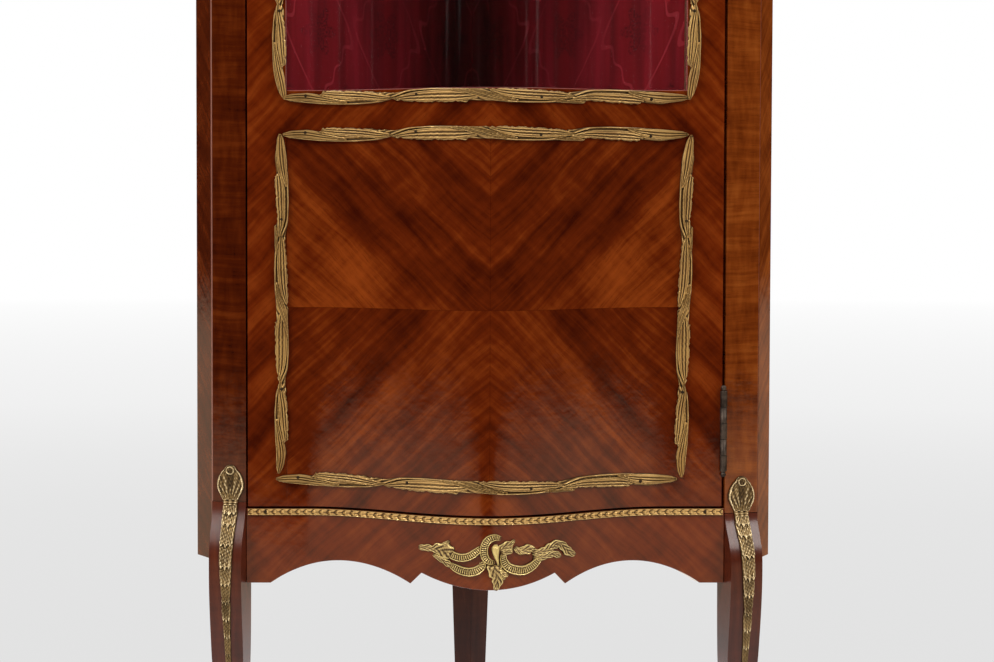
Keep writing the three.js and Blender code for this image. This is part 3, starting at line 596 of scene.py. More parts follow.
def cast_gilt(name, bright, dull, crest=(0.72, 0.47, 0.18)):
    """Cast and chased gilt bronze: bright and dull in random patches of wear, brown and dull in the hollows,
    with a painted highlight of a paler colour on the crests.
    """
    finish = Finish(bpy.data.materials.new(name))
    x, y, z = finish.place()
    patches = finish.noise(x, y, z, scale=42, detail=4)
    grains = finish.noise(x, y, z, scale=620, detail=4, roughness=0.7)
    hollow = finish.add("Attribute", output="Fac", attribute_name="hollow")
    # Bright or dull by random patches of wear, duller in the hollows, brighter where a painted highlight is
    # asked for
    wear_and_glint = patches - hollow * 0.3 + 0.09
    colour = finish.mix(finish.ramp(wear_and_glint, (0.38, 0.0), (0.62, 1.0)), dull, bright)
    depth = hollow + patches * 0.3 + grains * 0.6 - 0.45
    dirt = finish.ramp(depth, (0.26, 0.0), (0.62, 0.75), (0.95, 1.0))
    colour = finish.mix(dirt, colour, (0.030, 0.016, 0.007))
    # Painted highlight: the crests and the spots asked for take the pale crest colour and become less
    # metallic
    rise = finish.ramp(-hollow + 0.06, (0.0, 0.0), (0.5, 0.95))
    finish.surface(Base_Color=finish.mix(rise, colour, crest), Metallic=rise * -0.3 + 0.6,
                   Specular_IOR_Level=0.4, Roughness=grains * 0.25 + hollow * 0.3 + 0.26,
                   Normal=finish.bump(grains, 0.24 * MM, finish.bump(patches, 0.3 * MM)))
    return finish.owner


def tarnished(name, light, dark, roughness):
    """Brown, dull metal of the hinges, the key and the lock."""
    finish = Finish(bpy.data.materials.new(name))
    x, y, z = finish.place()
    stains = finish.noise(x, y, z, scale=60, detail=5, roughness=0.65)
    scratches = finish.noise(x * 400, y * 400, z * 40, detail=3)
    colour = finish.mix(finish.ramp(stains, (0.4, 0.0), (0.62, 1.0)), dark, light)
    finish.surface(Base_Color=colour, Metallic=1.0, Roughness=stains * 0.3 + (roughness - 0.1),
                   Normal=finish.bump(scratches, 0.04 * MM))
    return finish.owner


DAMASK_REPEAT = (0.11, 0.17)


def flower(across, up):
    """1 inside a rosette in the middle of each repeat."""
    a = across.math("FRACT") - 0.5
    b = (up.math("FRACT") - 0.5) * 1.45
    petals = (b.math("ARCTAN2", a) * 6).math("COSINE")
    return (a ** 2 + b ** 2).math("SQRT") < petals * 0.055 + 0.2


def damask():
    """Crimson damask: outlined ogees and speckled rosettes, darker in upright streaks of painted fold shade
    and a shade paler in upright streaks of painted reflection, with painted shade towards the rear corner.
    """
    finish = Finish(bpy.data.materials.new("crimson_damask"))
    u, v, _ = finish.split(finish.add("UVMap", uv_map="cloth"))
    across, up = u * (1 / DAMASK_REPEAT[0]), v * (1 / DAMASK_REPEAT[1])
    turn = 2 * math.pi
    lattice = (across * turn).math("COSINE") + (up * turn).math("COSINE")
    lattice += ((across + up) * (4 * turn)).math("COSINE") * 0.16
    stem = abs(lattice) < 0.085
    speckle = finish.ramp(finish.noise(u * 420, v * 420), (0.46, 0.0), (0.56, 1.0))
    rosettes = flower(across, up).math("MAXIMUM", flower(across + 0.5, up + 0.5)) * speckle
    slub = finish.noise(u * 60, v * 900)
    colour = finish.mix(slub, (0.166, 0.0024, 0.0062), (0.114, 0.0016, 0.0040))
    colour = finish.mix(rosettes * 0.85, colour, (0.060, 0.0012, 0.0030))
    colour = finish.mix(stem * 0.7, colour, (0.27, 0.022, 0.032))
    # Painted shade: darker upright streaks standing in for the shade of folds
    painted_fold_shade = finish.noise(u * 30, v * 2.6, 5.0, detail=3)
    colour = finish.mix(finish.ramp(painted_fold_shade, (0.36, 0.66), (0.56, 0.0)), colour, (0.060, 0.0016, 0.0036))
    # Painted reflection: paler upright streaks standing in for the glass's reflections
    painted_highlight = finish.noise(u * 38, v * 2.2, detail=3)
    colour = finish.mix(finish.ramp(painted_highlight, (0.46, 0.0), (0.66, 0.5)), colour, (0.27, 0.010, 0.022))
    # Painted shade: the cloth darkens towards the rear corner, where little light reaches
    x, _, _ = finish.place()
    shade = finish.ramp(abs(x + 0.008), (0.012, 0.46), (0.075, 0.84), (0.19, 0.95))
    thread = finish.noise(u * 2600, v * 900)
    finish.surface(Base_Color=finish.mix(1.0, colour, shade, "MULTIPLY"), Roughness=0.72,
                   Specular_IOR_Level=0.12, Normal=finish.bump(thread, 0.2 * MM))
    return finish.owner


def clear_glass():
    """Old drawn glass, a little wavy, with faint upright smears."""
    finish = Finish(bpy.data.materials.new("drawn_glass"))
    x, y, z = finish.place()
    waves = finish.noise(x * 26, y, z * 1.6)
    smears = finish.ramp(finish.noise(x * 170, y, z * 1.3), (0.6, 0.0), (0.7, 1.0))
    finish.surface(Base_Color=(0.97, 0.95, 0.95), Roughness=0.01, IOR=1.5,
                   Transmission_Weight=smears * -0.009 + 1.0, Normal=finish.bump(waves, 1.2 * MM))
    return finish.owner


PANEL_VENEER = veneered("quartered_panel", radiating_grain, joints=True,
                        tones=((0.042, 0.0042, 0.0006), (0.112, 0.0140, 0.0018), (0.250, 0.046, 0.0062)))
FRAME_VENEER = veneered("frame_veneer", rising_grain, stripes=0.6, sight_highlight=0.6,
                        tones=((0.050, 0.0050, 0.0006), (0.120, 0.0148, 0.0017), (0.216, 0.038, 0.0052)))
APRON_VENEER = veneered("apron_veneer", rising_grain,
                        tones=((0.060, 0.0060, 0.0008), (0.140, 0.0175, 0.0021), (0.240, 0.043, 0.0062)))
# The right stile gets lighter tones than the left one: painted light and shade, a lit and a shaded copy of
# one veneer
STILE_VENEERS = {
    "left": veneered("left_stile_veneer", crossbanded_grain, curl=0.3, arris_highlight=0.85,
                     tones=((0.028, 0.0030, 0.0005), (0.067, 0.0088, 0.0011), (0.128, 0.022, 0.0032))),
    "right": veneered("right_stile_veneer", crossbanded_grain, curl=0.3, arris_highlight=0.25,
                      tones=((0.080, 0.0128, 0.0016), (0.164, 0.0320, 0.0042), (0.266, 0.066, 0.0096))),
}
# The right return gets lighter tones than the left one: painted light and shade, a lit and a shaded copy of
# one veneer
RETURN_VENEERS = {
    "left": veneered("left_return_veneer", return_grain, gloss=0.62, arris_highlight=0.5,
                     tones=((0.030, 0.0034, 0.0006), (0.070, 0.0100, 0.0016), (0.140, 0.026, 0.0045))),
    "right": veneered("right_return_veneer", return_grain, gloss=0.36,
                      tones=((0.070, 0.0110, 0.0016), (0.160, 0.0320, 0.0045), (0.280, 0.070, 0.0110))),
}
LEG_VENEERS = {
    "left": veneered("left_leg_veneer", upright_grain, gloss=0.68, haze=0.3,
                     tones=((0.036, 0.0068, 0.0028), (0.084, 0.0148, 0.0057), (0.138, 0.029, 0.0102))),
    "right": veneered("right_leg_veneer", upright_grain, gloss=0.7, haze=0.26,
                      tones=((0.032, 0.006, 0.0025), (0.075, 0.013, 0.005), (0.125, 0.026, 0.009))),
}
POST_VENEER = veneered("post_veneer", upright_grain, gloss=0.22,
                       tones=((0.028, 0.007, 0.003), (0.055, 0.013, 0.006), (0.09, 0.025, 0.012)))
CORNICE_VENEER = veneered("cornice_polish", level_grain,
                          tones=((0.040, 0.0045, 0.0006), (0.092, 0.0125, 0.0016), (0.170, 0.031, 0.0045)))
BACK_WOOD = case_wood("back_boards", upright_grain)
SHELF_WOOD = case_wood("shelf_boards", level_grain)
GILT = cast_gilt("cast_gilt_bronze", bright=(0.42, 0.255, 0.084), dull=(0.185, 0.098, 0.028))
BRIGHT_GILT = cast_gilt("rubbed_gilt_bronze", bright=(0.57, 0.345, 0.115), dull=(0.27, 0.140, 0.042))
# crest is the colour of the painted highlight on the castings' crests
KNEE_GILT = cast_gilt("knee_gilt_bronze", bright=(0.32, 0.21, 0.084), dull=(0.130, 0.078, 0.028),
                      crest=(0.98, 0.78, 0.45))
DULL_GILT = cast_gilt("dull_gilt_bronze", bright=(0.40, 0.27, 0.110), dull=(0.17, 0.104, 0.044),
                      crest=(0.80, 0.62, 0.24))
HINGE_BRASS = tarnished("brown_hinge_brass", (0.125, 0.098, 0.08), (0.040, 0.032, 0.028), roughness=0.5)
LOCK_STEEL = tarnished("dull_lock_steel", (0.42, 0.40, 0.37), (0.17, 0.15, 0.13), roughness=0.38)
LINING = damask()
GLASS = clear_glass()


# Case

def seam_edge(depth):
    """Half width of what stands between the stiles, at a depth behind the flats."""
    return meet(shifted(OPENING_SIDE, SEAM), across_line(depth)).x


def leg_post_ring(across_in, across_out, out, side, z):
    """Ring of the leg where it carries the stile's section."""
    mitre = meet(MITRE_LINE, RETURN_INNER)
    inner = meet(RETURN_INNER, STILE_REAR)
    back = meet(OPENING_SIDE, STILE_REAR)
    points = [on_stile(across_in, out, side), on_stile(STILE_FACE - across_out, out, side),
              on_stile(STILE_FACE - across_out, 0.02 * MM, side), (side * FRONT_ARRIS.x, FRONT_ARRIS.y)]
    points += [(side * p.x, p.y) for p in (mitre, inner, back)]
    return [(x, y, z) for x, y in points]


def leg_shaft_ring(across_in, across_out, out, back, side, z):
    """Ring of the leg's shaft below the case."""
    edge = STILE_FACE - across_out
    points = [(across_in, out), (edge, out), (edge, out / 2), (edge, 0), (edge, -back),
              ((across_in + edge) / 2, -back), (across_in, -back)]
    return [(*on_stile(across, reach, side), z) for across, reach in points]


KNEE_HEIGHT = 0.197
KNEE_REACH = 0.020
LEG_BACK = 0.019
LEG_TAPER = 0.008
# Height, reach, inner taper, outer taper and back of the shaft, as shares of its sizes
SHAFT_SHARES = (
    (0, 0.5, 0.4, 0.7, 0.9), (0.06, 0.5, 0.4, 0.7, 0.9), (0.14, 0.32, 0.48, 0.76, 0.96),
    (0.24, 0.24, 0.5, 0.74, 1), (0.36, 0.33, 0.28, 0.5, 0.98), (0.48, 0.5, 0.08, 0.3, 0.97),
    (0.6, 0.66, 0.02, 0.26, 0.98), (0.74, 0.84, 0, 0.25, 1), (0.88, 0.97, 0, 0.25, 1.02),
    (1, 1, 0, 0.25, 1.05),
)
KNEE_SHARES = ((0.18, 0.97, 0.24), (0.36, 0.84, 0.21), (0.54, 0.6, 0.17), (0.72, 0.32, 0.13),
               (0.88, 0.11, 0.1), (1, 0.03, 0.08))


def through(points, at):
    """Smooth curve through given points, read at the given places."""
    x, y = np.array(points, float).T
    slope = np.gradient(y, x)
    at = np.clip(np.asarray(at, float), x[0], x[-1])
    i = np.clip(np.searchsorted(x, at) - 1, 0, len(x) - 2)
    width = x[i + 1] - x[i]
    t = (at - x[i]) / width
    return ((2 * t**3 - 3 * t**2 + 1) * y[i] + (t**3 - 2 * t**2 + t) * width * slope[i]
            + (3 * t**2 - 2 * t**3) * y[i + 1] + (t**3 - t**2) * width * slope[i + 1])


def leg_rows(side):
    """Heights of the leg with its reach, inner taper, outer taper and back there."""
    shaft = [(h * KNEE_HEIGHT, r * KNEE_REACH, i * LEG_TAPER, o * LEG_TAPER, b * LEG_BACK)
             for h, r, i, o, b in SHAFT_SHARES]
    knee = [(KNEE_HEIGHT + h * (KNEE_TOP[side] - KNEE_HEIGHT), r * KNEE_REACH, 0, o * LEG_TAPER, LEG_BACK)
            for h, r, o in KNEE_SHARES]
    return np.array(shaft + knee)


def leg_at(side, z):
    """Reach, inner taper, outer taper and back of the leg at heights z."""
    rows = leg_rows(side)
    return [through(rows[:, (0, k)], z) for k in (1, 2, 3, 4)]


def front_leg(name, side):
    foot, shelf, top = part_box(f"{name}_front_leg")[0].z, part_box("left_side_return")[0].z, KNEE_TOP[side]
    rings = []
    for z in np.linspace(foot, shelf, 44):
        out, inner, outer, back = leg_at(side, z)
        rings.append(leg_shaft_ring(inner, outer, out, back, side, z))
    for z in np.linspace(shelf + 0.01 * MM, top, 18):
        out, inner, outer, _ = leg_at(side, z)
        rings.append(leg_post_ring(inner, outer, out, side, z))
    piece = loft(f"{name}_leg", rings)
    with editing(piece):
        bpy.ops.mesh.remove_doubles(threshold=0.012 * MM)
    soften(piece, 0.7 * MM, 3, 38)
    return stand_for(piece, f"{name}_front_leg", LEG_VENEERS[name])


def carcass():
    for name, _ in SIDES:
        dress(f"{name}_front_stile", STILE_VENEERS[name], 0.7 * MM, 3)
        dress(f"{name}_side_return", RETURN_VENEERS[name], 0.6 * MM)
        dress(f"{name}_back_panel", BACK_WOOD)
        for shelf in ("cupboard", "lower_shelf", "upper_shelf"):
            dress(f"{name}_{shelf}_batten", SHELF_WOOD, 0.8 * MM)
    dress("rear_leg_post", POST_VENEER, 0.8 * MM, 3)
    for node in ("bottom_board", "cupboard_shelf", "display_floor", "top_board"):
        dress(node, SHELF_WOOD, 0.6 * MM)
    for node in ("lower_glass_shelf", "upper_glass_shelf"):
        shelf = dress(node, GLASS, 0.7 * MM, 3)
        shelf.visible_shadow = False


APRON_FLAT = 0.180
ARCH_END, ARCH_TOP, ARCH_SPIKE = (0.2299, 0.180), (0.15744, 0.205), (0.0814, 0.187)
NOTCH, LOBE = (0.0699, 0.1995), (0, 0.18475)


def arc_height(x, a, b, c):
    """Height at x of the circle through three points of an outline."""
    a, b, c = Vector(a), Vector(b), Vector(c)
    centre = meet(*(((p + b) / 2, (p - b).orthogonal()) for p in (a, c)))
    radius = (b - centre).length
    reach = np.sqrt(np.maximum(radius**2 - (x - centre.x)**2, 0))
    return centre.y + math.copysign(1, b.y - centre.y) * reach


def apron_edge(x):
    """Height of the apron's lower edge: flats, an arch each side, spikes, notches and a middle lobe."""
    x = np.abs(x)
    arch = arc_height(x, ARCH_END, ARCH_TOP, ARCH_SPIKE)
    rise = NOTCH[1] + (x - NOTCH[0]) * (ARCH_SPIKE[1] - NOTCH[1]) / (ARCH_SPIKE[0] - NOTCH[0])
    lobe = arc_height(x, (-NOTCH[0], NOTCH[1]), LOBE, NOTCH)
    edge = np.where(x < NOTCH[0], lobe, rise)
    edge = np.where(x > ARCH_SPIKE[0], arch, edge)
    return np.where(x > ARCH_END[0], APRON_FLAT, edge)


def front_rail(name, stations, low, finish, edge, rows=4):
    """Rail between the stiles, with its lower edge's height given at each station."""
    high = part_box(f"{name}_rail")[1]
    depth = high.y - FRONT
    narrowing = seam_edge(depth) / seam_edge(0)
    rail = front_board(name, stations, low, high.z, 0, depth, narrowing, rows)
    soften(rail, *edge)
    stand_for(rail, f"{name}_rail", finish)


def rails():
    right = [0.0]
    for end, steps in ((NOTCH[0], 28), (ARCH_SPIKE[0], 5), (ARCH_END[0], 46), (seam_edge(0), 8)):
        right += list(np.linspace(right[-1], end, steps + 1)[1:])
    stations = np.array([-x for x in right[:0:-1]] + right)
    front_rail("apron", stations, apron_edge(stations), APRON_VENEER, (0.6 * MM, 3, 40), 6)
    stations = np.linspace(-seam_edge(0), seam_edge(0), 121)
    front_rail("frieze", stations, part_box("frieze_rail")[0].z, FRAME_VENEER, (0.5 * MM,))


def cornice_ring(overhang, z):
    edge = across_line(-overhang)
    rim = shifted(STILE_LINE, -overhang)
    side = shifted(RETURN_LINE, -overhang)
    corner = meet(edge, rim)
    x = np.linspace(-HALF_OPENING, HALF_OPENING, 129)[1:-1]
    slope = np.gradient(front_at(x), x)
    long = np.sqrt(1 + slope**2)
    curve = [(a + s / l * overhang, front_at(a) - overhang / l) for a, s, l in zip(x, slope, long)]
    right = [tuple(p) for p in (corner, meet(rim, side), meet(side, WALL_LINE))]
    left = [(-x, y) for x, y in reversed(right)]
    return [(x, y, z) for x, y in [*curve, *right, tuple(REAR_CORNER), *left]]


def cornice():
    low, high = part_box("cornice_moulding")
    height = high.z - low.z
    hollow = [(0.16 + 0.44 * math.sin(t), 0.24 + 0.48 * (1 - math.cos(t)))
              for t in np.linspace(0, math.pi / 2, 10)]
    roll = [(0.81 - 0.19 * math.cos(t), 0.84 + 0.16 * math.sin(t)) for t in np.linspace(0, math.pi, 12)]
    profile = [(0, 0.12), (0.14, 0.12), (0.145, 0.24), *hollow, (0.615, 0.84), *roll[1:], (1.0, 0.80)]
    overhang = 0.016
    rings = [cornice_ring(out * overhang, low.z + up * height) for up, out in profile]
    piece = loft("cornice", rings)
    smooth(piece, 40)
    stand_for(piece, "cornice_moulding", CORNICE_VENEER)


CLOTH_GAP = 0.9 * MM
CLOTH_THICKNESS = 0.6 * MM


def linings():
    """Damask stretched over each back and round the rear post, in one width a side."""
    low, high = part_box("left_lining")[0].z + MM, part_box("left_lining")[1].z - MM
    gap = SEAM + CLOTH_GAP
    post = shifted(POST_LINE, gap)
    back = shifted(WALL_LINE, BACK_THICKNESS + gap)
    path = [meet(back, shifted(RETURN_LINE, RETURN_THICKNESS + gap)), meet(back, post),
            meet(post, shifted(CENTRE_LINE, SEAM))]
    lengths = [0, (path[1] - path[0]).length]
    lengths.append(lengths[1] + (path[2] - path[1]).length)
    for name, side in SIDES:
        def hang(u, v, side=side):
            at = u * lengths[-1]
            x = np.interp(at, lengths, [p.x for p in path])
            y = np.interp(at, lengths, [p.y for p in path])
            return side * x, y, low + v * (high - low)

        cloth = sheet_grid(f"{name}_damask_lining", 90, 150, hang)
        u = np.array([d.uv for d in cloth.data.uv_layers.active.data])
        cloth.data.uv_layers.active.name = "cloth"
        flat = u * (lengths[-1], high - low)
        cloth.data.uv_layers["cloth"].data.foreach_set("uv", flat.ravel())
        modify(cloth, "SOLIDIFY", thickness=CLOTH_THICKNESS, offset=0)
        smooth(cloth, 30)
        stand_for(cloth, f"{name}_lining", LINING)


# Door

HINGE_STILE_TRIM = 1.3 * MM
HINGE_STILE_EDGE = 12 * MM      # what of the stile is moved in by the trim


def door():
    stations = np.linspace(-HALF_SIGHT + SEAM, HALF_SIGHT - SEAM, 107)
    panel = front_board("panel", stations, PANEL_LOW, PANEL_HIGH, 0, DOOR_THICKNESS)
    soften(panel, 0.25 * MM)
    stand_for(panel, "door_panel", PANEL_VENEER)

    reach = HALF_SIGHT - 0.02 * MM
    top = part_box("door_top_rail")[1].z
    foot, foot_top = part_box("door_bottom_rail")[0].z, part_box("door_bottom_rail")[1].z
    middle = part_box("door_middle_rail")[0].z
    rebate, back = 0.008, DOOR_THICKNESS
    sections = {
        "door_top_rail": [(0, SIGHT_HIGH), (0, top), (back, top), (back, SIGHT_HIGH + REBATE),
                          (rebate, SIGHT_HIGH + REBATE), (rebate, SIGHT_HIGH)],
        "door_middle_rail": [(0, middle), (0, SIGHT_LOW), (rebate, SIGHT_LOW),
                             (rebate, SIGHT_LOW - REBATE), (back, SIGHT_LOW - REBATE), (back, middle)],
        "door_bottom_rail": [(0, foot), (0, foot_top), (back, foot_top), (back, foot)],
    }
    for node, section in sections.items():
        rail = bowed_bar(f"{node}_finished", section, reach)
        soften(rail, 0.12 * MM)
        stand_for(rail, node, FRAME_VENEER)
    dress("door_lock_stile", FRAME_VENEER, 0.12 * MM)
    hinge_stile = dress("door_hinge_stile", FRAME_VENEER, 0.12 * MM)
    points = corners(hinge_stile)
    points[points[:, 0] > HALF_OPENING - HINGE_STILE_EDGE, 0] -= HINGE_STILE_TRIM
    set_corners(hinge_stile, points)
    dress("glazing_bead", SHELF_WOOD, 0.4 * MM)

    low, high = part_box("door_glass")
    pane = front_board("pane", np.linspace(low.x, high.x, 120), low.z, high.z, GLASS_DEPTH,
                       GLASS_DEPTH + GLASS_THICKNESS, rows=30)
    soften(pane, 0.3 * MM)
    pane.visible_shadow = False
    stand_for(pane, "door_glass", GLASS)


# Gilt mounts

def off_front(x, height):
    """Plan x and y of a point that stands off the front by a height."""
    step = 0.05 * MM
    slope = (front_at(x + step) - front_at(x - step)) / (2 * step)
    long = np.sqrt(1 + slope**2)
    off = height + SEAM
    return x + slope / long * off, front_at(x) - off / long


def unit(value):
    return np.clip(value, 0, 1)


def bell(at, middle, width):
    """1 at the middle, falling off to both sides."""
    return np.exp(-((at - middle) / width) ** 2)


def rounded(v, share):
    """Fullness of a section over its width: 0 at both edges, 1 a share of the width in."""
    edge = unit(np.minimum(v, 1 - v) / share)
    return np.sqrt(edge * (2 - edge))


MOULDING_WIDTH = 15.5 * MM
MOULDING_THICKNESS = 4.8 * MM


def hundredths(*rows):
    return np.array(rows) / 100


# Rim, upper edge and lower edge of one run of leaves, as shares of its length and half width
RIM_SHARES = hundredths(
    (0, 0), (4, -55), (10, -86), (18, -94), (23.5, -70), (27.5, 2), (31, 70), (36, 90), (42, 84),
    (46.5, 45), (50, -25), (54, -80), (60, -93), (66, -68), (70, 2), (74, 74), (80, 93), (87, 78),
    (93, 42), (100, 5),
)
UPPER_SHARES = hundredths(
    (0, 16), (2, 52), (6, 66), (9.4, 42), (10, 98), (13, 104), (19, 90), (24.5, 70), (27.5, 46),
    (31, 84), (36, 100), (42, 94), (47, 86), (50, 96), (54, 100), (60, 88), (66.5, 68), (70, 50),
    (74, 88), (80, 102), (87, 95), (93, 76), (98.5, 46), (100, 14),
)
LOWER_SHARES = hundredths(
    (0, -16), (2, -55), (10, -92), (18, -102), (24, -80), (27, -34), (28.2, -62), (33, -95),
    (40, -100), (44.4, -104), (45, -70), (50, -78), (54, -96), (60, -102), (66.5, -94), (73, -100),
    (73.7, -62), (80, -86), (87.4, -106), (88, -66), (93, -90), (98.5, -50), (100, -16),
)
# Leaves of the run: share along, middle line and half width as shares of the run's half width
BLADES = (
    hundredths((0, 0, 50), (5, 12, 62), (10, -25, 50), (16, -72, 16)),
    hundredths((9, 62, 30), (14, 42, 60), (20, 20, 66), (25, -15, 40), (28.5, -32, 10)),
    hundredths((26.5, -50, 10), (31, -20, 60), (36, -10, 85), (42, -10, 85), (47, 0, 40)),
    hundredths((41, 85, 12), (44.5, 50, 26), (47.5, 2, 30), (50.5, -45, 26), (54, -80, 12)),
    hundredths((44, 90, 12), (47, 62, 22), (50, 18, 26), (53, -30, 24), (56.5, -72, 12)),
    hundredths((50, 72, 20), (54, 36, 60), (60, 14, 75), (66, 6, 60), (70.5, -8, 15)),
    hundredths((65.5, -70, 14), (69.5, -78, 22), (73.5, -86, 14)),
    hundredths((70, -35, 15), (74, -12, 50), (80, -20, 75), (86, -35, 68), (88.5, -50, 45)),
    hundredths((84.5, 70, 14), (89, 25, 55), (94, 0, 72), (100, 0, 35)),
)
# Where along the run the leaves' edges are toothed
TOOTHED_ABOVE = ((0.1, 0.27), (0.49, 0.69))
TOOTHED_BELOW = ((0.285, 0.445), (0.74, 0.875))
LOBE_PITCH = 6.8 * MM
RIBS = 1.8


def within(share, spans):
    """1 where the share lies inside one of the spans, else 0."""
    return sum((share > start) & (share < end) for start, end in spans)


def leafy_run(length, runs):
    """Edges and relief of a moulding of pointed, overlapping leaves, over its length and width."""
    half = MOULDING_WIDTH / 2

    def at_run(u):
        turn = u * runs
        share = np.where(turn >= runs, 1, turn % 1)
        return np.where(np.floor(turn) % 2 == 1, 1 - share, share)

    def across(u, v):
        share, at = at_run(u), u * length
        lobes = 0.15 * np.abs(np.sin(np.pi * at / LOBE_PITCH)) * (0.75 + 0.5 * np.sin(at / 0.0031))
        lobes = lobes + 0.05 * np.abs(np.sin(at / 0.00062 + 2 * np.sin(at / 0.004)))
        upper = np.interp(share, *UPPER_SHARES.T) - lobes * within(share, TOOTHED_ABOVE)
        lower = np.interp(share, *LOWER_SHARES.T) + lobes * within(share, TOOTHED_BELOW)
        return half * (lower + v * (upper - lower))

    def relief(u, v):
        share = at_run(u)
        spot = across(u, v) / half
        from_rim = spot - through(RIM_SHARES, share)
        rim = bell(from_rim, 0, 0.11)
        body = 0.52 + 0.15 * np.cos(2 * np.pi * 1.9 * from_rim) + 0.42 * rim
        for number, blade in enumerate(BLADES):
            along, middle, width = blade.T
            off = (spot - through(np.column_stack([along, middle]), share))
            off = off / through(np.column_stack([along, width]), share)
            inside = (share >= along[0]) & (share <= along[-1]) & (np.abs(off) < 1)
            crown = np.sqrt(unit(1 - off ** 2))
            ribs = 0.5 + 0.5 * np.cos(2 * np.pi * RIBS * off)
            fall = 0.06 * np.cos(np.pi * (share - along[0]) / (along[-1] - along[0]))
            edge = 0.24 * bell(np.abs(off), 0.84, 0.12)
            full = 0.42 + 0.16 * crown + 0.3 * ribs * crown + edge + fall + 0.06 * (number % 2)
            groove = inside & (np.abs(off) > 0.97)
            body = np.where(inside, full - 0.2 * groove, body)
        return MOULDING_THICKNESS * (0.2 + 0.8 * rounded(v, 0.16)) * unit(body)

    return across, relief


NAIL_RADIUS = 1.7 * MM
NAIL_LIFT = 0.82 * MOULDING_THICKNESS
LEANING_LENGTH = 0.034


def nailed(node, cast, spots, lift, finish):
    """Sets a casting in its node's place, with a round-headed pin at the x and z of each spot."""
    pins = []
    for x, z in spots:
        pin = fresh(f"{node}_pin", bpy.ops.mesh.primitive_uv_sphere_add, segments=12, ring_count=6,
                    radius=NAIL_RADIUS)
        set_corners(pin, corners(pin) * (1, 0.6, 1) + (*off_front(x, lift), z))
        smooth(pin, 180)
        set_hollow(pin, [0.95] * len(pin.data.vertices))
        pins.append(pin)
    stand_for(joined(f"{node}_cast", [cast, *pins]), node, finish)


def level_moulding(node, half_length, centre, middle):
    across, relief = leafy_run(2 * half_length, 1)

    def place(u, v, height):
        x, y = off_front(middle + (2 * u - 1) * half_length, height)
        return x, y, centre + across(u, v)

    cast = casting(node, 390, 38, relief, place)
    spots = [(middle + (2 * share - 1) * half_length, centre + 0.12 * MOULDING_WIDTH * above)
             for share, above in ((0.055, 1), (0.33, 1), (0.62, -1), (0.905, -1))]
    nailed(node, cast, spots, NAIL_LIFT, GILT)


def upright_moulding(node, side, x, low, high, runs, tips):
    """Upright moulding round x; the tips say how far its lower and upper ends lean aside."""
    across, relief = leafy_run(high - low, runs)

    def line(u):
        ends = [unit(1 - at * (high - low) / LEANING_LENGTH) ** 2 for at in (u, 1 - u)]
        return np.interp(u, (0, 1), x) + tips[0] * ends[0] + tips[1] * ends[1]

    def place(u, v, height):
        px, py = off_front(line(u) - side * across(u, v), height)
        return px, py, low + u * (high - low)

    cast = casting(node, int((high - low) / (1.15 * MM)), 36, relief, place)
    spots = [(line(share), low + share * (high - low)) for share in np.arange(0.5, 2 * runs) / (2 * runs)]
    nailed(node, cast, spots, NAIL_LIFT, BRIGHT_GILT)


LEVEL_HALF_LENGTH = 0.215
GLASS_FRAME_REACH = 0.2195
GLASS_FRAME_MARGIN = 8 * MM


def glass_frame():
    low, high = SIGHT_LOW - GLASS_FRAME_MARGIN, SIGHT_HIGH + GLASS_FRAME_MARGIN
    level_moulding("glass_moulding_bottom", LEVEL_HALF_LENGTH, low, -0.5 * MM)
    level_moulding("glass_moulding_top", LEVEL_HALF_LENGTH, high, -0.5 * MM)
    for name, side, lean in (("left", -1, 5.6 * MM), ("right", 1, -4.6 * MM)):
        upright_moulding(f"glass_moulding_{name}", side, (side * GLASS_FRAME_REACH,) * 2, low - 2 * MM,
                         high + 2 * MM, 2, (lean, lean))


def panel_frame():
    """The panel's mouldings: the right one leans and the bottom one sits to the left."""
    level_moulding("panel_moulding_bottom", LEVEL_HALF_LENGTH - MM, PANEL_LOW, -9.8 * MM)
    level_moulding("panel_moulding_top", LEVEL_HALF_LENGTH, PANEL_HIGH, -1.0 * MM)
    low, high = PANEL_LOW + 6 * MM, PANEL_HIGH - 0.5 * MM
    upright_moulding("panel_moulding_left", -1, (-0.2176, -0.2176), low, high + MM, 1, (-3.4 * MM, -1.5 * MM))
    upright_moulding("panel_moulding_right", 1, (0.2080, 0.2140), low - 4 * MM, high, 1, (1.2 * MM, 3.6 * MM))


BAND_PITCH = 8.4 * MM
BAND_THICKNESS = 2.5 * MM


def chain_relief(length):
    """Relief of a narrow band: a chain of small leaves between two fine rims."""
    def relief(u, v):
        off = np.abs(2 * v - 1)
        turn = u * length / BAND_PITCH
        leaf = np.abs(np.sin(np.pi * (turn - 0.42 * off)))
        link = bell(turn % 1, 0.5, 0.13) * unit(1 - 2.2 * off)
        body = 0.42 + 0.42 * leaf * (off < 0.74) * unit(1.5 - off) + 0.3 * link - 0.18 * bell(off, 0, 0.1)
        body = np.clip(np.maximum(body, 0.9 * bell(off, 0.86, 0.1)), 0.25, 1)
        return BAND_THICKNESS * body * (0.3 + 0.7 * rounded(v, 0.08))
    return relief


def band(node):
    low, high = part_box(node)

    def place(u, v, off):
        x, y = off_front((2 * u - 1) * high.x, off)
        return x, y, low.z + 0.1 * MM + v * (high.z - low.z - 0.2 * MM)

    cast = casting(node, 1000, 12, chain_relief(2 * high.x), place)
    spots = [(x, (low.z + high.z) / 2) for x in (-0.235, -0.082, 0.082, 0.235)]
    nailed(node, cast, spots, 0.6 * BAND_THICKNESS, BRIGHT_GILT)


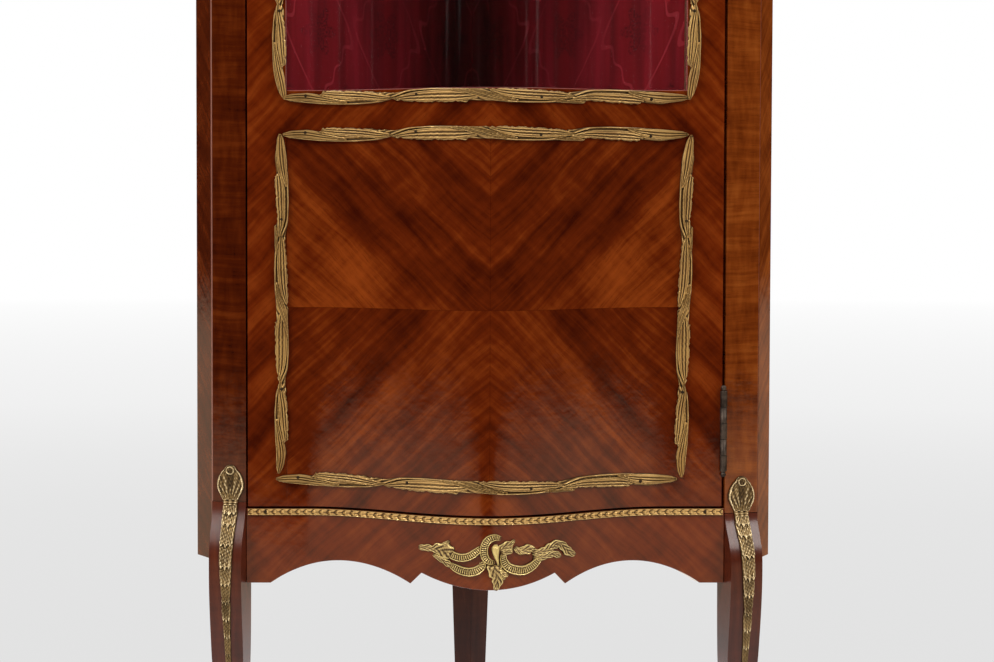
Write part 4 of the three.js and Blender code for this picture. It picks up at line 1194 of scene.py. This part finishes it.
# Height above the knee's top and half width there of the knee mount, in millimetres
KNEE_MOUNT_EDGE = MM * np.array((
    (-208.5, 2.4), (-200, 2.9), (-165, 3.1), (-150, 3.5), (-128, 4.2), (-113, 5.1), (-100, 4.5),
    (-96, 5.2), (-75, 6.4), (-55, 7.2), (-30, 7.9), (-12, 8.5), (-3, 7.8), (0, 8.2), (3, 9), (7, 11),
    (11, 13.3), (15.5, 15), (21, 15.2), (27.5, 13.1), (32, 10.2), (35.2, 7), (37, 6), (38.8, 4),
    (39.8, 1.6),
))
KNEE_MOUNT_THICKNESS = 5 * MM
WAIST_HALF_HEIGHT = 0.003      # of the ribbed waist between the husks and the shell
HEART_HEIGHT = 0.0225
LOOP_HEIGHT = 0.0338
KNEE_MOUNT_ASIDE = {-1: (-2.0, -2.0), 1: (1.2, -0.3)}     # at the strip's foot and at the shell
HUSK_TIPS = MM * np.array((-208.5, -186, -166, -147, -128, -109, -89.7, -71, -47.3, -26.6, -14.8, -1))


def husks(rise, off):
    """Chain of husks with three lobes each, whose raised tips lie over the next husk."""
    lobe = np.abs(np.sin(1.5 * np.pi * off))
    at = rise - 0.0034 * lobe - 0.0022 * np.abs(off)
    number = np.clip(np.searchsorted(HUSK_TIPS, at), 1, len(HUSK_TIPS) - 1)
    start, tip = HUSK_TIPS[number], HUSK_TIPS[number - 1]
    down = unit((start - at) / (start - tip))
    veins = 0.04 * np.cos(2 * np.pi * (4.2 * off + 0.5 * down))
    rims = 0.14 * bell(np.abs(off), 0.86, 0.09)
    body = 0.38 + 0.36 * down ** 1.6 + 0.17 * (1 - lobe) * (0.3 + 0.7 * down) + rims + veins
    # The second value marks the husks' raised tips, which get a painted highlight
    return body + grainy(rise, off), down ** 3 * unit(1 - 1.9 * lobe) * (number % 3 > 0)


def grainy(rise, off):
    """Uneven casting skin."""
    wave = np.sin(rise / 0.00061 + 7 * off) + np.sin(off * 23 + rise / 0.0017)
    wave = wave + np.sin(rise / 0.00097 - 13 * off) + np.sin(31 * off - rise / 0.00083)
    return 0.035 * wave


def knee_mount(name, side):
    top, end = KNEE_TOP[side] + KNEE_MOUNT_EDGE[-1, 0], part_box(f"{name}_knee_mount")[0].z

    def rise_of(u):
        return end + u * (top - end) - KNEE_TOP[side]

    def half_at(u):
        return np.interp(rise_of(u), *KNEE_MOUNT_EDGE.T)

    def relief(u, v):
        rise, off = rise_of(u), 2 * v - 1
        out = np.abs(off)
        half = half_at(u)
        angle = np.arctan2(off * half, rise + 0.004)
        flutes = 0.075 * np.cos(angle * 29) * unit(rise / 0.012)
        petal = 0.16 * np.sin(np.pi * unit(out / 0.86)) ** 2
        heart_width = 0.0013 + 0.16 * np.clip(rise - 0.012, 0, 0.014)
        heart = np.exp(-((rise - HEART_HEIGHT) / 0.0088) ** 4 - (off * half / heart_width) ** 2)
        around = np.hypot(rise - LOOP_HEIGHT, off * half)
        loop = bell(around, 0.0039, 0.0008) - 0.9 * bell(around, 0, 0.0026)
        rim = bell(out, 0.9, 0.06) * (1 + 0.3 * np.cos(rise / 0.00032))
        shell = 0.56 + flutes + petal - 0.42 * heart + 0.26 * rim + 0.3 * loop
        waist = 0.74 - 0.16 * np.abs(np.sin(rise / 0.0011)) + 0.16 * np.cos(off * 9)
        body = np.where(rise > WAIST_HALF_HEIGHT, shell + 0.6 * grainy(rise, off), husks(rise, off)[0])
        body = np.where(np.abs(rise) < WAIST_HALF_HEIGHT, waist, body)
        low = np.clip((half / MM) / 7, 0.4, 1)
        return KNEE_MOUNT_THICKNESS * np.clip(body, 0.12, 1) * low * (0.2 + 0.8 * rounded(v, 0.14))

    def place(u, v, height):
        z = end + u * (top - end)
        seat = np.where(z > KNEE_TOP[side], 0, leg_at(side, z)[0])
        aside = np.interp(rise_of(u), (-0.1, 0), KNEE_MOUNT_ASIDE[side]) * MM
        across = STILE_FACE / 2 + aside + (2 * v - 1) * half_at(u)
        x, y = on_stile(across, seat + SEAM + height, side)
        return x, y, z

    # Painted highlight on the raised tips of the husks
    def painted_glint(u, v):
        rise, off = rise_of(u), 2 * v - 1
        return 1.6 * husks(rise, off)[1] * (rise < -0.004)

    cast = casting(f"{name}_knee_mount_cast", 520, 44, relief, place, painted_glint)
    stand_for(cast, f"{name}_knee_mount", KNEE_GILT)


# Scrolls and leaves of the apron mount: x and height of the middle line and half width, in millimetres,
# from the mount's own middle, then the kind of relief
APRON_STROKES = (
    ("leaf", (-72.5, 4.9, 1.6), (-68.4, 4.7, 3.2), (-62.1, 4.9, 3.5), (-57.6, 4.3, 3.6), (-52.2, 4.5, 6.4),
        (-46.8, 3.3, 8.6), (-41.9, 1.6, 8.4), (-38.2, -0.2, 5.6)),
    ("leaf", (-48.6, 7.5, 1.8), (-44.5, 10.1, 2.8), (-41, 13.7, 0.8)),
    ("leaf", (-57.6, -1.5, 0.8), (-53.5, -3.9, 2.4), (-47.7, -6.5, 3.2), (-42.3, -10.1, 3.4),
        (-37.8, -12.9, 2.2)),
    ("ribbed", (-39.9, 0.1, 4.2), (-35.2, -2.2, 4.5), (-27.7, -3.5, 4.4), (-20.2, -1.6, 4.3),
        (-13.9, 2.8, 4), (-8.9, 7.4, 2.6)),
    ("ribbed", (-39.9, -10.8, 2.4), (-35.2, -13.9, 4), (-27.7, -17.1, 4.7), (-18.9, -18.1, 4.9),
        (-11.4, -15.4, 4.6), (-7.2, -10.4, 3.6), (-8.4, -6.8, 1.8)),
    ("leaf", (5, -10.2, 7.6), (5.6, -17.1, 7.8), (7.5, -22.1, 6.4), (8.1, -28.4, 5.4), (7.2, -33.4, 3.8),
        (6.4, -37.4, 1.4)),
    ("leaf", (10, -16, 2.4), (14, -19.6, 3.2), (17.2, -20.8, 2.6), (19.6, -20, 1)),
    ("leaf", (11, -22, 1.6), (14.6, -24.6, 1.8), (17, -24.4, 0.8)),
    ("ribbed", (11.5, 16.8, 2.6), (5.6, 18.2, 3.6), (-1.3, 15.4, 4.3), (-5.1, 9.3, 4.4), (-5.7, 2.4, 4.4),
        (-3.8, -3.9, 4.1), (0.6, -7.3, 3.2), (5.6, -8, 1.6)),
    ("leaf", (10.6, 4.4, 3.6), (15, 7.8, 5), (20.4, 10.4, 4.6), (23.6, 13, 2.2), (25.7, 15.8, 0.8)),
    ("leaf", (11.4, 2, 2.4), (16.4, 2.6, 3.2), (21, 4, 3), (24.6, 5.8, 1.2)),
    ("ribbed", (14, 1.2, 2.8), (14.4, -6, 4.2), (18.6, -12.5, 4.9), (26.3, -16.1, 5.2), (35.8, -16.8, 5.1),
        (43.6, -13.4, 4.6), (50, -7.6, 3.4), (53.1, -3.8, 1.8)),
    ("leaf", (25.7, 7.4, 1.4), (29.5, 3.8, 3.2), (34.1, -0.2, 1.2)),
    ("leaf", (29.6, 4.4, 2.2), (34.3, 4, 4.6), (38.8, 4.7, 5.2), (43.3, 5.1, 4.2), (47, 3.1, 2.2)),
    ("leaf", (44.9, 1.4, 3), (51, 0.9, 3.8), (57.2, 2.1, 4.2), (62.9, 4.8, 4.5), (68.4, 7.6, 4.5),
        (74.3, 7.8, 4.2), (79.4, 3.6, 4.5), (84.6, -1.6, 4.4), (89.6, -4.2, 2.8), (92.5, -4.8, 1)),
    ("leaf", (45.9, -4.1, 2.6), (52.1, -4.5, 3.6), (59.2, -2.9, 3.8), (67.4, -1.9, 3.6), (72.5, -3.7, 3),
        (76.4, -5.4, 1.2)),
    ("drop", (6.2, 11, 1.6), (6.2, 8, 3.7), (6.2, 3, 3.5), (6.9, -2, 2.3), (8.1, -7, 1.3),
        (8.8, -11.4, 0.7)),
)
STROKE_RELIEF = {"leaf": 3.4 * MM, "ribbed": 4.2 * MM, "drop": 6.4 * MM}
APRON_MOUNT_MIDDLE = 0.222


def stroke(name, kind, points):
    """One scroll or leaf of the mount, swept along its middle line on the front."""
    points = np.array(points) * MM
    run = np.concatenate([[0], np.cumsum(np.hypot(*np.diff(points[:, :2], axis=0).T))])
    length = run[-1]

    def line(u):
        at = u * length
        return [through(np.column_stack([run, points[:, k]]), at) for k in range(3)]

    def relief(u, v):
        off = 2 * v - 1
        ends = unit(np.minimum(u, 1 - u) * length / (3 * MM))
        rough = 0.05 * np.sin(u * length / 0.00052 + 4 * off) * np.sin(off * 11 + u * length / 0.0013)
        if kind == "ribbed":
            ribs = np.cos(2 * np.pi * (u * length / (2.1 * MM) + 0.12 * off))
            rims = 0.26 * bell(np.abs(off), 0.8, 0.13)
            grooves = 0.14 * bell(np.abs(off), 0.58, 0.1)
            body = 0.66 + 0.1 * ribs * (np.abs(off) < 0.62) + rims - grooves + 0.5 * rough
        elif kind == "leaf":
            veins = np.cos(2 * np.pi * (np.abs(off) * 1.5 - u * length / (7.5 * MM)))
            body = 0.72 + 0.09 * veins + 0.12 * bell(np.abs(off), 0.84, 0.12) + rough
        else:
            body = 0.95 + 0 * off
        full = 0.25 + 0.75 * rounded(v, 0.7 if kind == "drop" else 0.22)
        return STROKE_RELIEF[kind] * np.clip(body, 0.2, 1) * full * (0.3 + 0.7 * ends)

    def place(u, v, height):
        x, z, half = line(u)
        ahead, behind = line(np.minimum(u + 0.004, 1)), line(np.maximum(u - 0.004, 0))
        dx, dz = ahead[0] - behind[0], ahead[1] - behind[1]
        long = np.hypot(dx, dz)
        half = half * (1 + (0.11 * np.sin(u * length / (1.3 * MM)) if kind == "leaf" else 0))
        off = (2 * v - 1) * half
        px, py = off_front(x - dz / long * off, height)
        return px, py, APRON_MOUNT_MIDDLE + z + dx / long * off

    # Painted highlight: the drop is lightened all over
    wear_and_glint = 0.8 if kind == "drop" else 0
    return casting(name, max(24, int(length / (0.45 * MM))), 20, relief, place, lambda u, v: wear_and_glint)


def apron_mount():
    strokes = [stroke(f"scroll_{i}", kind, points) for i, (kind, *points) in enumerate(APRON_STROKES)]
    stand_for(joined("apron_mount_cast", strokes), "apron_mount", DULL_GILT)


FOOT_SQUARENESS = 6.2      # 2 would be round


def foot_ring(side, z, grow, toe, count=192):
    """Rounded ring round the foot, of the leg's section grown by a wall."""
    out, inner, outer, back = (float(a) for a in leg_at(side, max(z, 0.0)))
    left, right = inner - grow, STILE_FACE - outer + grow
    near, far = out + grow + toe, -back - grow
    points = []
    for turn in turns(count):
        c, s = math.cos(turn), math.sin(turn)
        square = (abs(c) ** FOOT_SQUARENESS + abs(s) ** FOOT_SQUARENESS) ** (1 / FOOT_SQUARENESS)
        across = (left + right) / 2 + (right - left) / 2 * c / square
        reach = (near + far) / 2 + (near - far) / 2 * s / square
        points.append((turn, across, reach))
    return points


SABOT_HEIGHT = 0.058
SABOT_SOLE = 3.3 * MM
SABOT_WALL = 2.4 * MM
SABOT_TOE = 5 * MM
SABOT_LEAVES = 8
SABOT_CARVING = 0.5 * MM
SABOT_HALF_WIDTH = 0.02
FOOT_PLAY = 0.4 * MM


def sabot_ring(side, share, outside):
    """Ring of the shoe at a share of its height; only the outside is carved."""
    low = 0 if outside else SABOT_SOLE
    grow, toe = (SABOT_WALL, SABOT_TOE * (1 - share) ** 2) if outside else (FOOT_PLAY, 0)
    middle = STILE_FACE / 2
    ring = []
    for turn, across, reach in foot_ring(side, max(share * SABOT_HEIGHT, low), grow, toe):
        top = SABOT_HEIGHT * (0.84 + 0.16 * abs(math.cos(turn * SABOT_LEAVES / 2)))
        flute = (1 - math.cos(turn * SABOT_LEAVES * 3)) * math.sin(math.pi * share)
        carved = -SABOT_CARVING * outside * (flute + bell(share, 0.16, 0.05))
        across = middle + (across - middle) * (1 + carved / SABOT_HALF_WIDTH)
        z = max(share * top, low - 0.2 * MM)
        ring.append((*on_stile(across, reach + carved / 2, side), z))
    return ring


def sabot(name, side):
    """Cast shoe: a toe that swells out at the foot, ribbed leaves round the foot and a lobed upper edge."""
    rings = [sabot_ring(side, share, True) for share in np.linspace(0, 1, 34)]
    rings += [sabot_ring(side, share, False) for share in np.linspace(1, SABOT_SOLE / SABOT_HEIGHT, 6)]
    piece = loft(f"{name}_sabot_cast", rings)
    smooth(piece, 50)
    stand_for(piece, f"{name}_sabot", GILT)


# Hinges, lock and key

def hinges():
    for level in ("lower", "upper"):
        for part in ("case_leaf", "door_leaf"):
            dress(f"{level}_hinge_{part}", HINGE_BRASS, 0.35 * MM, 2, 40)
        pin = dress(f"{level}_hinge_pin", HINGE_BRASS, 0.1 * MM, 1, 60)
        smooth(pin, 60)


def lock():
    dress("lock_case", LOCK_STEEL, 0.4 * MM)
    dress("lock_bolt", LOCK_STEEL, 0.5 * MM)


def middle_of(node):
    low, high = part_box(node)
    return (low + high) / 2


PLATE_THICKNESS = 2.2 * MM
KEYHOLE_RADIUS = 2.8 * MM


def escutcheon():
    """Cast keyhole plate: a scalloped shield with a raised rim and a collar round the hole."""
    low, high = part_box("escutcheon")
    half, drop, hole = (high - low) / 2, middle_of("escutcheon").z - middle_of("key").z, middle_of("key")

    def point(turn, share, height):
        """From the keyhole's edge at share 0 to the plate's rim at share 1."""
        c, s = math.cos(turn), math.sin(turn)
        lobe = 1 - abs(math.sin(3 * turn)) ** 2 / 6 - 0.03 * abs(math.sin(12 * turn))
        bore_x, bore_z = KEYHOLE_RADIUS * c, KEYHOLE_RADIUS * s
        x = bore_x + (half.x * lobe * c - bore_x) * share
        z = bore_z + (drop + half.z * lobe * s - bore_z) * share
        return hole.x + x, FRONT - SEAM - height, hole.z + z

    def relief(turn, share):
        flutes = 0.16 * math.cos(turn * 18) * math.sin(math.pi * share)
        collar, rim = bell(share, 0, 0.14), bell(share, 0.86, 0.1)
        body = min(0.5 + flutes + 0.45 * collar + 0.4 * rim, 1)
        return PLATE_THICKNESS * body * (0.35 + 0.65 * math.sqrt(max(0, 1 - share ** 12)))

    rings = [[point(t, share, relief(t, share)) for t in turns(96)] for share in np.linspace(0, 1, 20)]
    inner, outer = ([point(t, share, 0) for t in turns(96)] for share in (0, 1))
    piece = loft("escutcheon_cast", [inner, *rings, outer], capped=False)
    smooth(piece, 50)
    stand_for(piece, "escutcheon", GILT)


# Distance from the key's head and radius of its turned shaft, both in millimetres
KEY_TURNING = ((16.5, 1.6), (18, 2.9), (19.5, 3.1), (21, 2.2), (23.5, 2.1), (25, 3.0), (26.5, 3.1), (28, 2.1))
KEY_RADIUS = 2.1
# Middle of each ring of the bow from the head and above the shaft, and its radius, in millimetres
KEY_BOW = ((4.8, 0, 4.6), (10.4, 5.0, 4.0), (10.4, -5.0, 4.0))
BOW_WIRE = 1.3
BIT_SIZE = (2.0, 8.0, 4.6)
BIT_MIDDLE = (-4.4, -2.7)      # from the tip and the shaft


def key():
    """Key with a pierced bow, a turned collar, a shaft and a bit."""
    head, tip = (corner.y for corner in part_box("key"))
    x, _, z = middle_of("key")
    turned = [(head + y * MM, r) for y, r in KEY_TURNING]
    turned += [(tip - 0.4 * MM, KEY_RADIUS), (tip, KEY_RADIUS - 0.4)]
    shaft = loft("key_shaft", [[(x + r * MM * math.cos(t), y, z + r * MM * math.sin(t)) for t in turns(24)]
                               for y, r in turned])
    smooth(shaft, 50)
    bows = []
    for y, rise, radius in KEY_BOW:
        ring = fresh("key_bow", bpy.ops.mesh.primitive_torus_add, major_segments=32, minor_segments=10,
                     abso_major_rad=0, major_radius=(radius - BOW_WIRE) * MM, minor_radius=BOW_WIRE * MM)
        set_corners(ring, corners(ring)[:, (2, 1, 0)] + (x, head + y * MM, z + rise * MM))
        face_out(ring)
        smooth(ring, 180)
        bows.append(ring)
    bit = fresh("key_bit", bpy.ops.mesh.primitive_cube_add, size=1)
    middle, drop = tip + BIT_MIDDLE[0] * MM, z + BIT_MIDDLE[1] * MM
    set_corners(bit, corners(bit) * np.array(BIT_SIZE) * MM + (x, middle, drop))
    with editing(bit):
        bpy.ops.mesh.subdivide(number_cuts=3)
    points = corners(bit)
    ward = (np.abs(points[:, 1] - middle) < 0.5 * MM) & (points[:, 2] < z - 4.5 * MM)
    points[ward, 2] += 1.6 * MM
    set_corners(bit, points)
    soften(bit, 0.2 * MM)
    stand_for(joined("key_cast", [shaft, *bows, bit]), "key", HINGE_BRASS)


# Floor, light and camera

FADE_REACH = 12
MIRROR_REACH = 20


def floor():
    """Pale studio floor that fades to white, with painted contact shade; in polish its near part glows as a
    painted reflection, with the dark beyond.
    """
    ground = fresh("studio_floor", bpy.ops.mesh.primitive_grid_add, x_subdivisions=8, y_subdivisions=8,
                   size=60)
    finish = Finish(bpy.data.materials.new("pale_floor"))
    x, y, _ = finish.place()
    reach = (x ** 2 + y ** 2).math("SQRT")
    tone = finish.ramp(reach * (1 / FADE_REACH), (0.04, 0.76), (0.18, 0.785), (0.26, 0.815), (0.38, 0.871),
                       (0.92, 0.973), (1.0, 1.0))
    # Painted shadow: ambient occlusion darkens the glowing floor near and under the cabinet
    shade = finish.add("AmbientOcclusion", {"Distance": 0.16}, "AO", samples=8)
    shade = finish.ramp(shade, (0.0, 0.45), (0.85, 1.0))
    seen = finish.add("Emission", {"Color": finish.mix(1.0, tone, shade, "MULTIPLY")})
    lit = finish.add("BsdfDiffuse", {"Color": (0.7, 0.7, 0.7)})

    # Painted reflection: for glossy rays the floor glows bright and warm near the cabinet, in a patch set by
    # direction and noise, and is dark beyond
    ahead = -y / (reach + 0.01)
    limit = finish.ramp(ahead * 0.5 + 0.5, (0.0, 1.0), (0.55, 0.32), (0.93, 0.265), (0.988, 0.20),
                        (0.9965, 0.115), (1.0, 0.11))
    patchy = finish.noise(x, y, scale=0.7, detail=1) * 0.5 + 0.75
    bright = finish.ramp(reach * (1 / MIRROR_REACH) / (limit * patchy), (0.55, 1.0), (1.0, 0.0))
    near = finish.mix(finish.ramp(reach, (0.35, 0.0), (1.0, 1.0)), (1.6, 1.57, 1.54), (0.90, 0.71, 0.49))
    mirrored = finish.add("Emission", {"Color": finish.mix(bright, (0.014, 0.011, 0.010), near)})
    glossy = finish.add("LightPath", output="Is Glossy Ray")
    inner = finish.add("MixShader", {0: glossy, 1: lit, 2: mirrored})
    whole = finish.add("MixShader", {0: finish.watched(), 1: inner, 2: seen})
    finish.feed(finish.nodes["Material Output"].inputs["Surface"], whole)
    ground.data.materials.append(finish.owner)


def room():
    """White behind the cabinet; a dim room with a paler ceiling in its polish."""
    studio = Finish(bpy.data.worlds.new("studio"))
    bpy.context.scene.world = studio.owner
    up = studio.split(studio.add("TexCoord", output="Generated"))[2]
    dim = studio.ramp(up, (0.28, (0.016, 0.013, 0.012)), (0.85, (0.55, 0.53, 0.50)))
    seen = studio.mix(studio.watched(), dim, (1.0, 1.0, 1.0))
    studio.feed(studio.nodes["Background"].inputs["Color"], seen)


def soft_light(name, where, aim, size, energy, colour=(1, 1, 1)):
    data = bpy.data.lights.new(name, "AREA")
    data.shape = "RECTANGLE"
    data.size, data.size_y = size
    data.energy = energy
    data.color = colour
    lamp = linked(name, data)
    lamp.location = where
    lamp.rotation_euler = (Vector(aim) - Vector(where)).to_track_quat("-Z", "Y").to_euler()


def lights():
    soft_light("key_softbox", (-3.0, -2.3, 3.3), (0, 0, 0.6), (2.0, 1.6), 135, (1.0, 0.96, 0.91))
    soft_light("fill_softbox", (3.1, -2.2, 3.2), (0, 0, 0.6), (2.0, 1.6), 115, (1.0, 0.97, 0.93))
    for name, side in SIDES:
        soft_light(f"{name}_back_softbox", (side * 2.4, 2.2, 3.0), (0, 0, 0.8), (1.8, 1.6), 60)


CAMERA_LENS = 95.25
CAMERA_SHIFT = (0.150, 0.0022)
CAMERA_PLACE = (-0.147, -2.928, 0.598)
CAMERA_DIP = math.radians(3.07)


def camera():
    data = bpy.data.cameras.new("view")
    data.sensor_width = 36
    data.lens = CAMERA_LENS
    data.shift_x, data.shift_y = CAMERA_SHIFT
    eye = linked("view", data)
    eye.location = CAMERA_PLACE
    eye.rotation_euler = (math.pi / 2 - CAMERA_DIP, 0, 0)
    bpy.context.scene.camera = eye


camera()
floor()
room()
lights()
bpy.context.scene.view_settings.view_transform = "Standard"

carcass()
for side_name, side_sign in SIDES:
    front_leg(side_name, side_sign)
    knee_mount(side_name, side_sign)
    sabot(side_name, side_sign)
rails()
cornice()
linings()
door()
glass_frame()
panel_frame()
band("apron_band")
band("frieze_band")
apron_mount()
hinges()
lock()
escutcheon()
key()
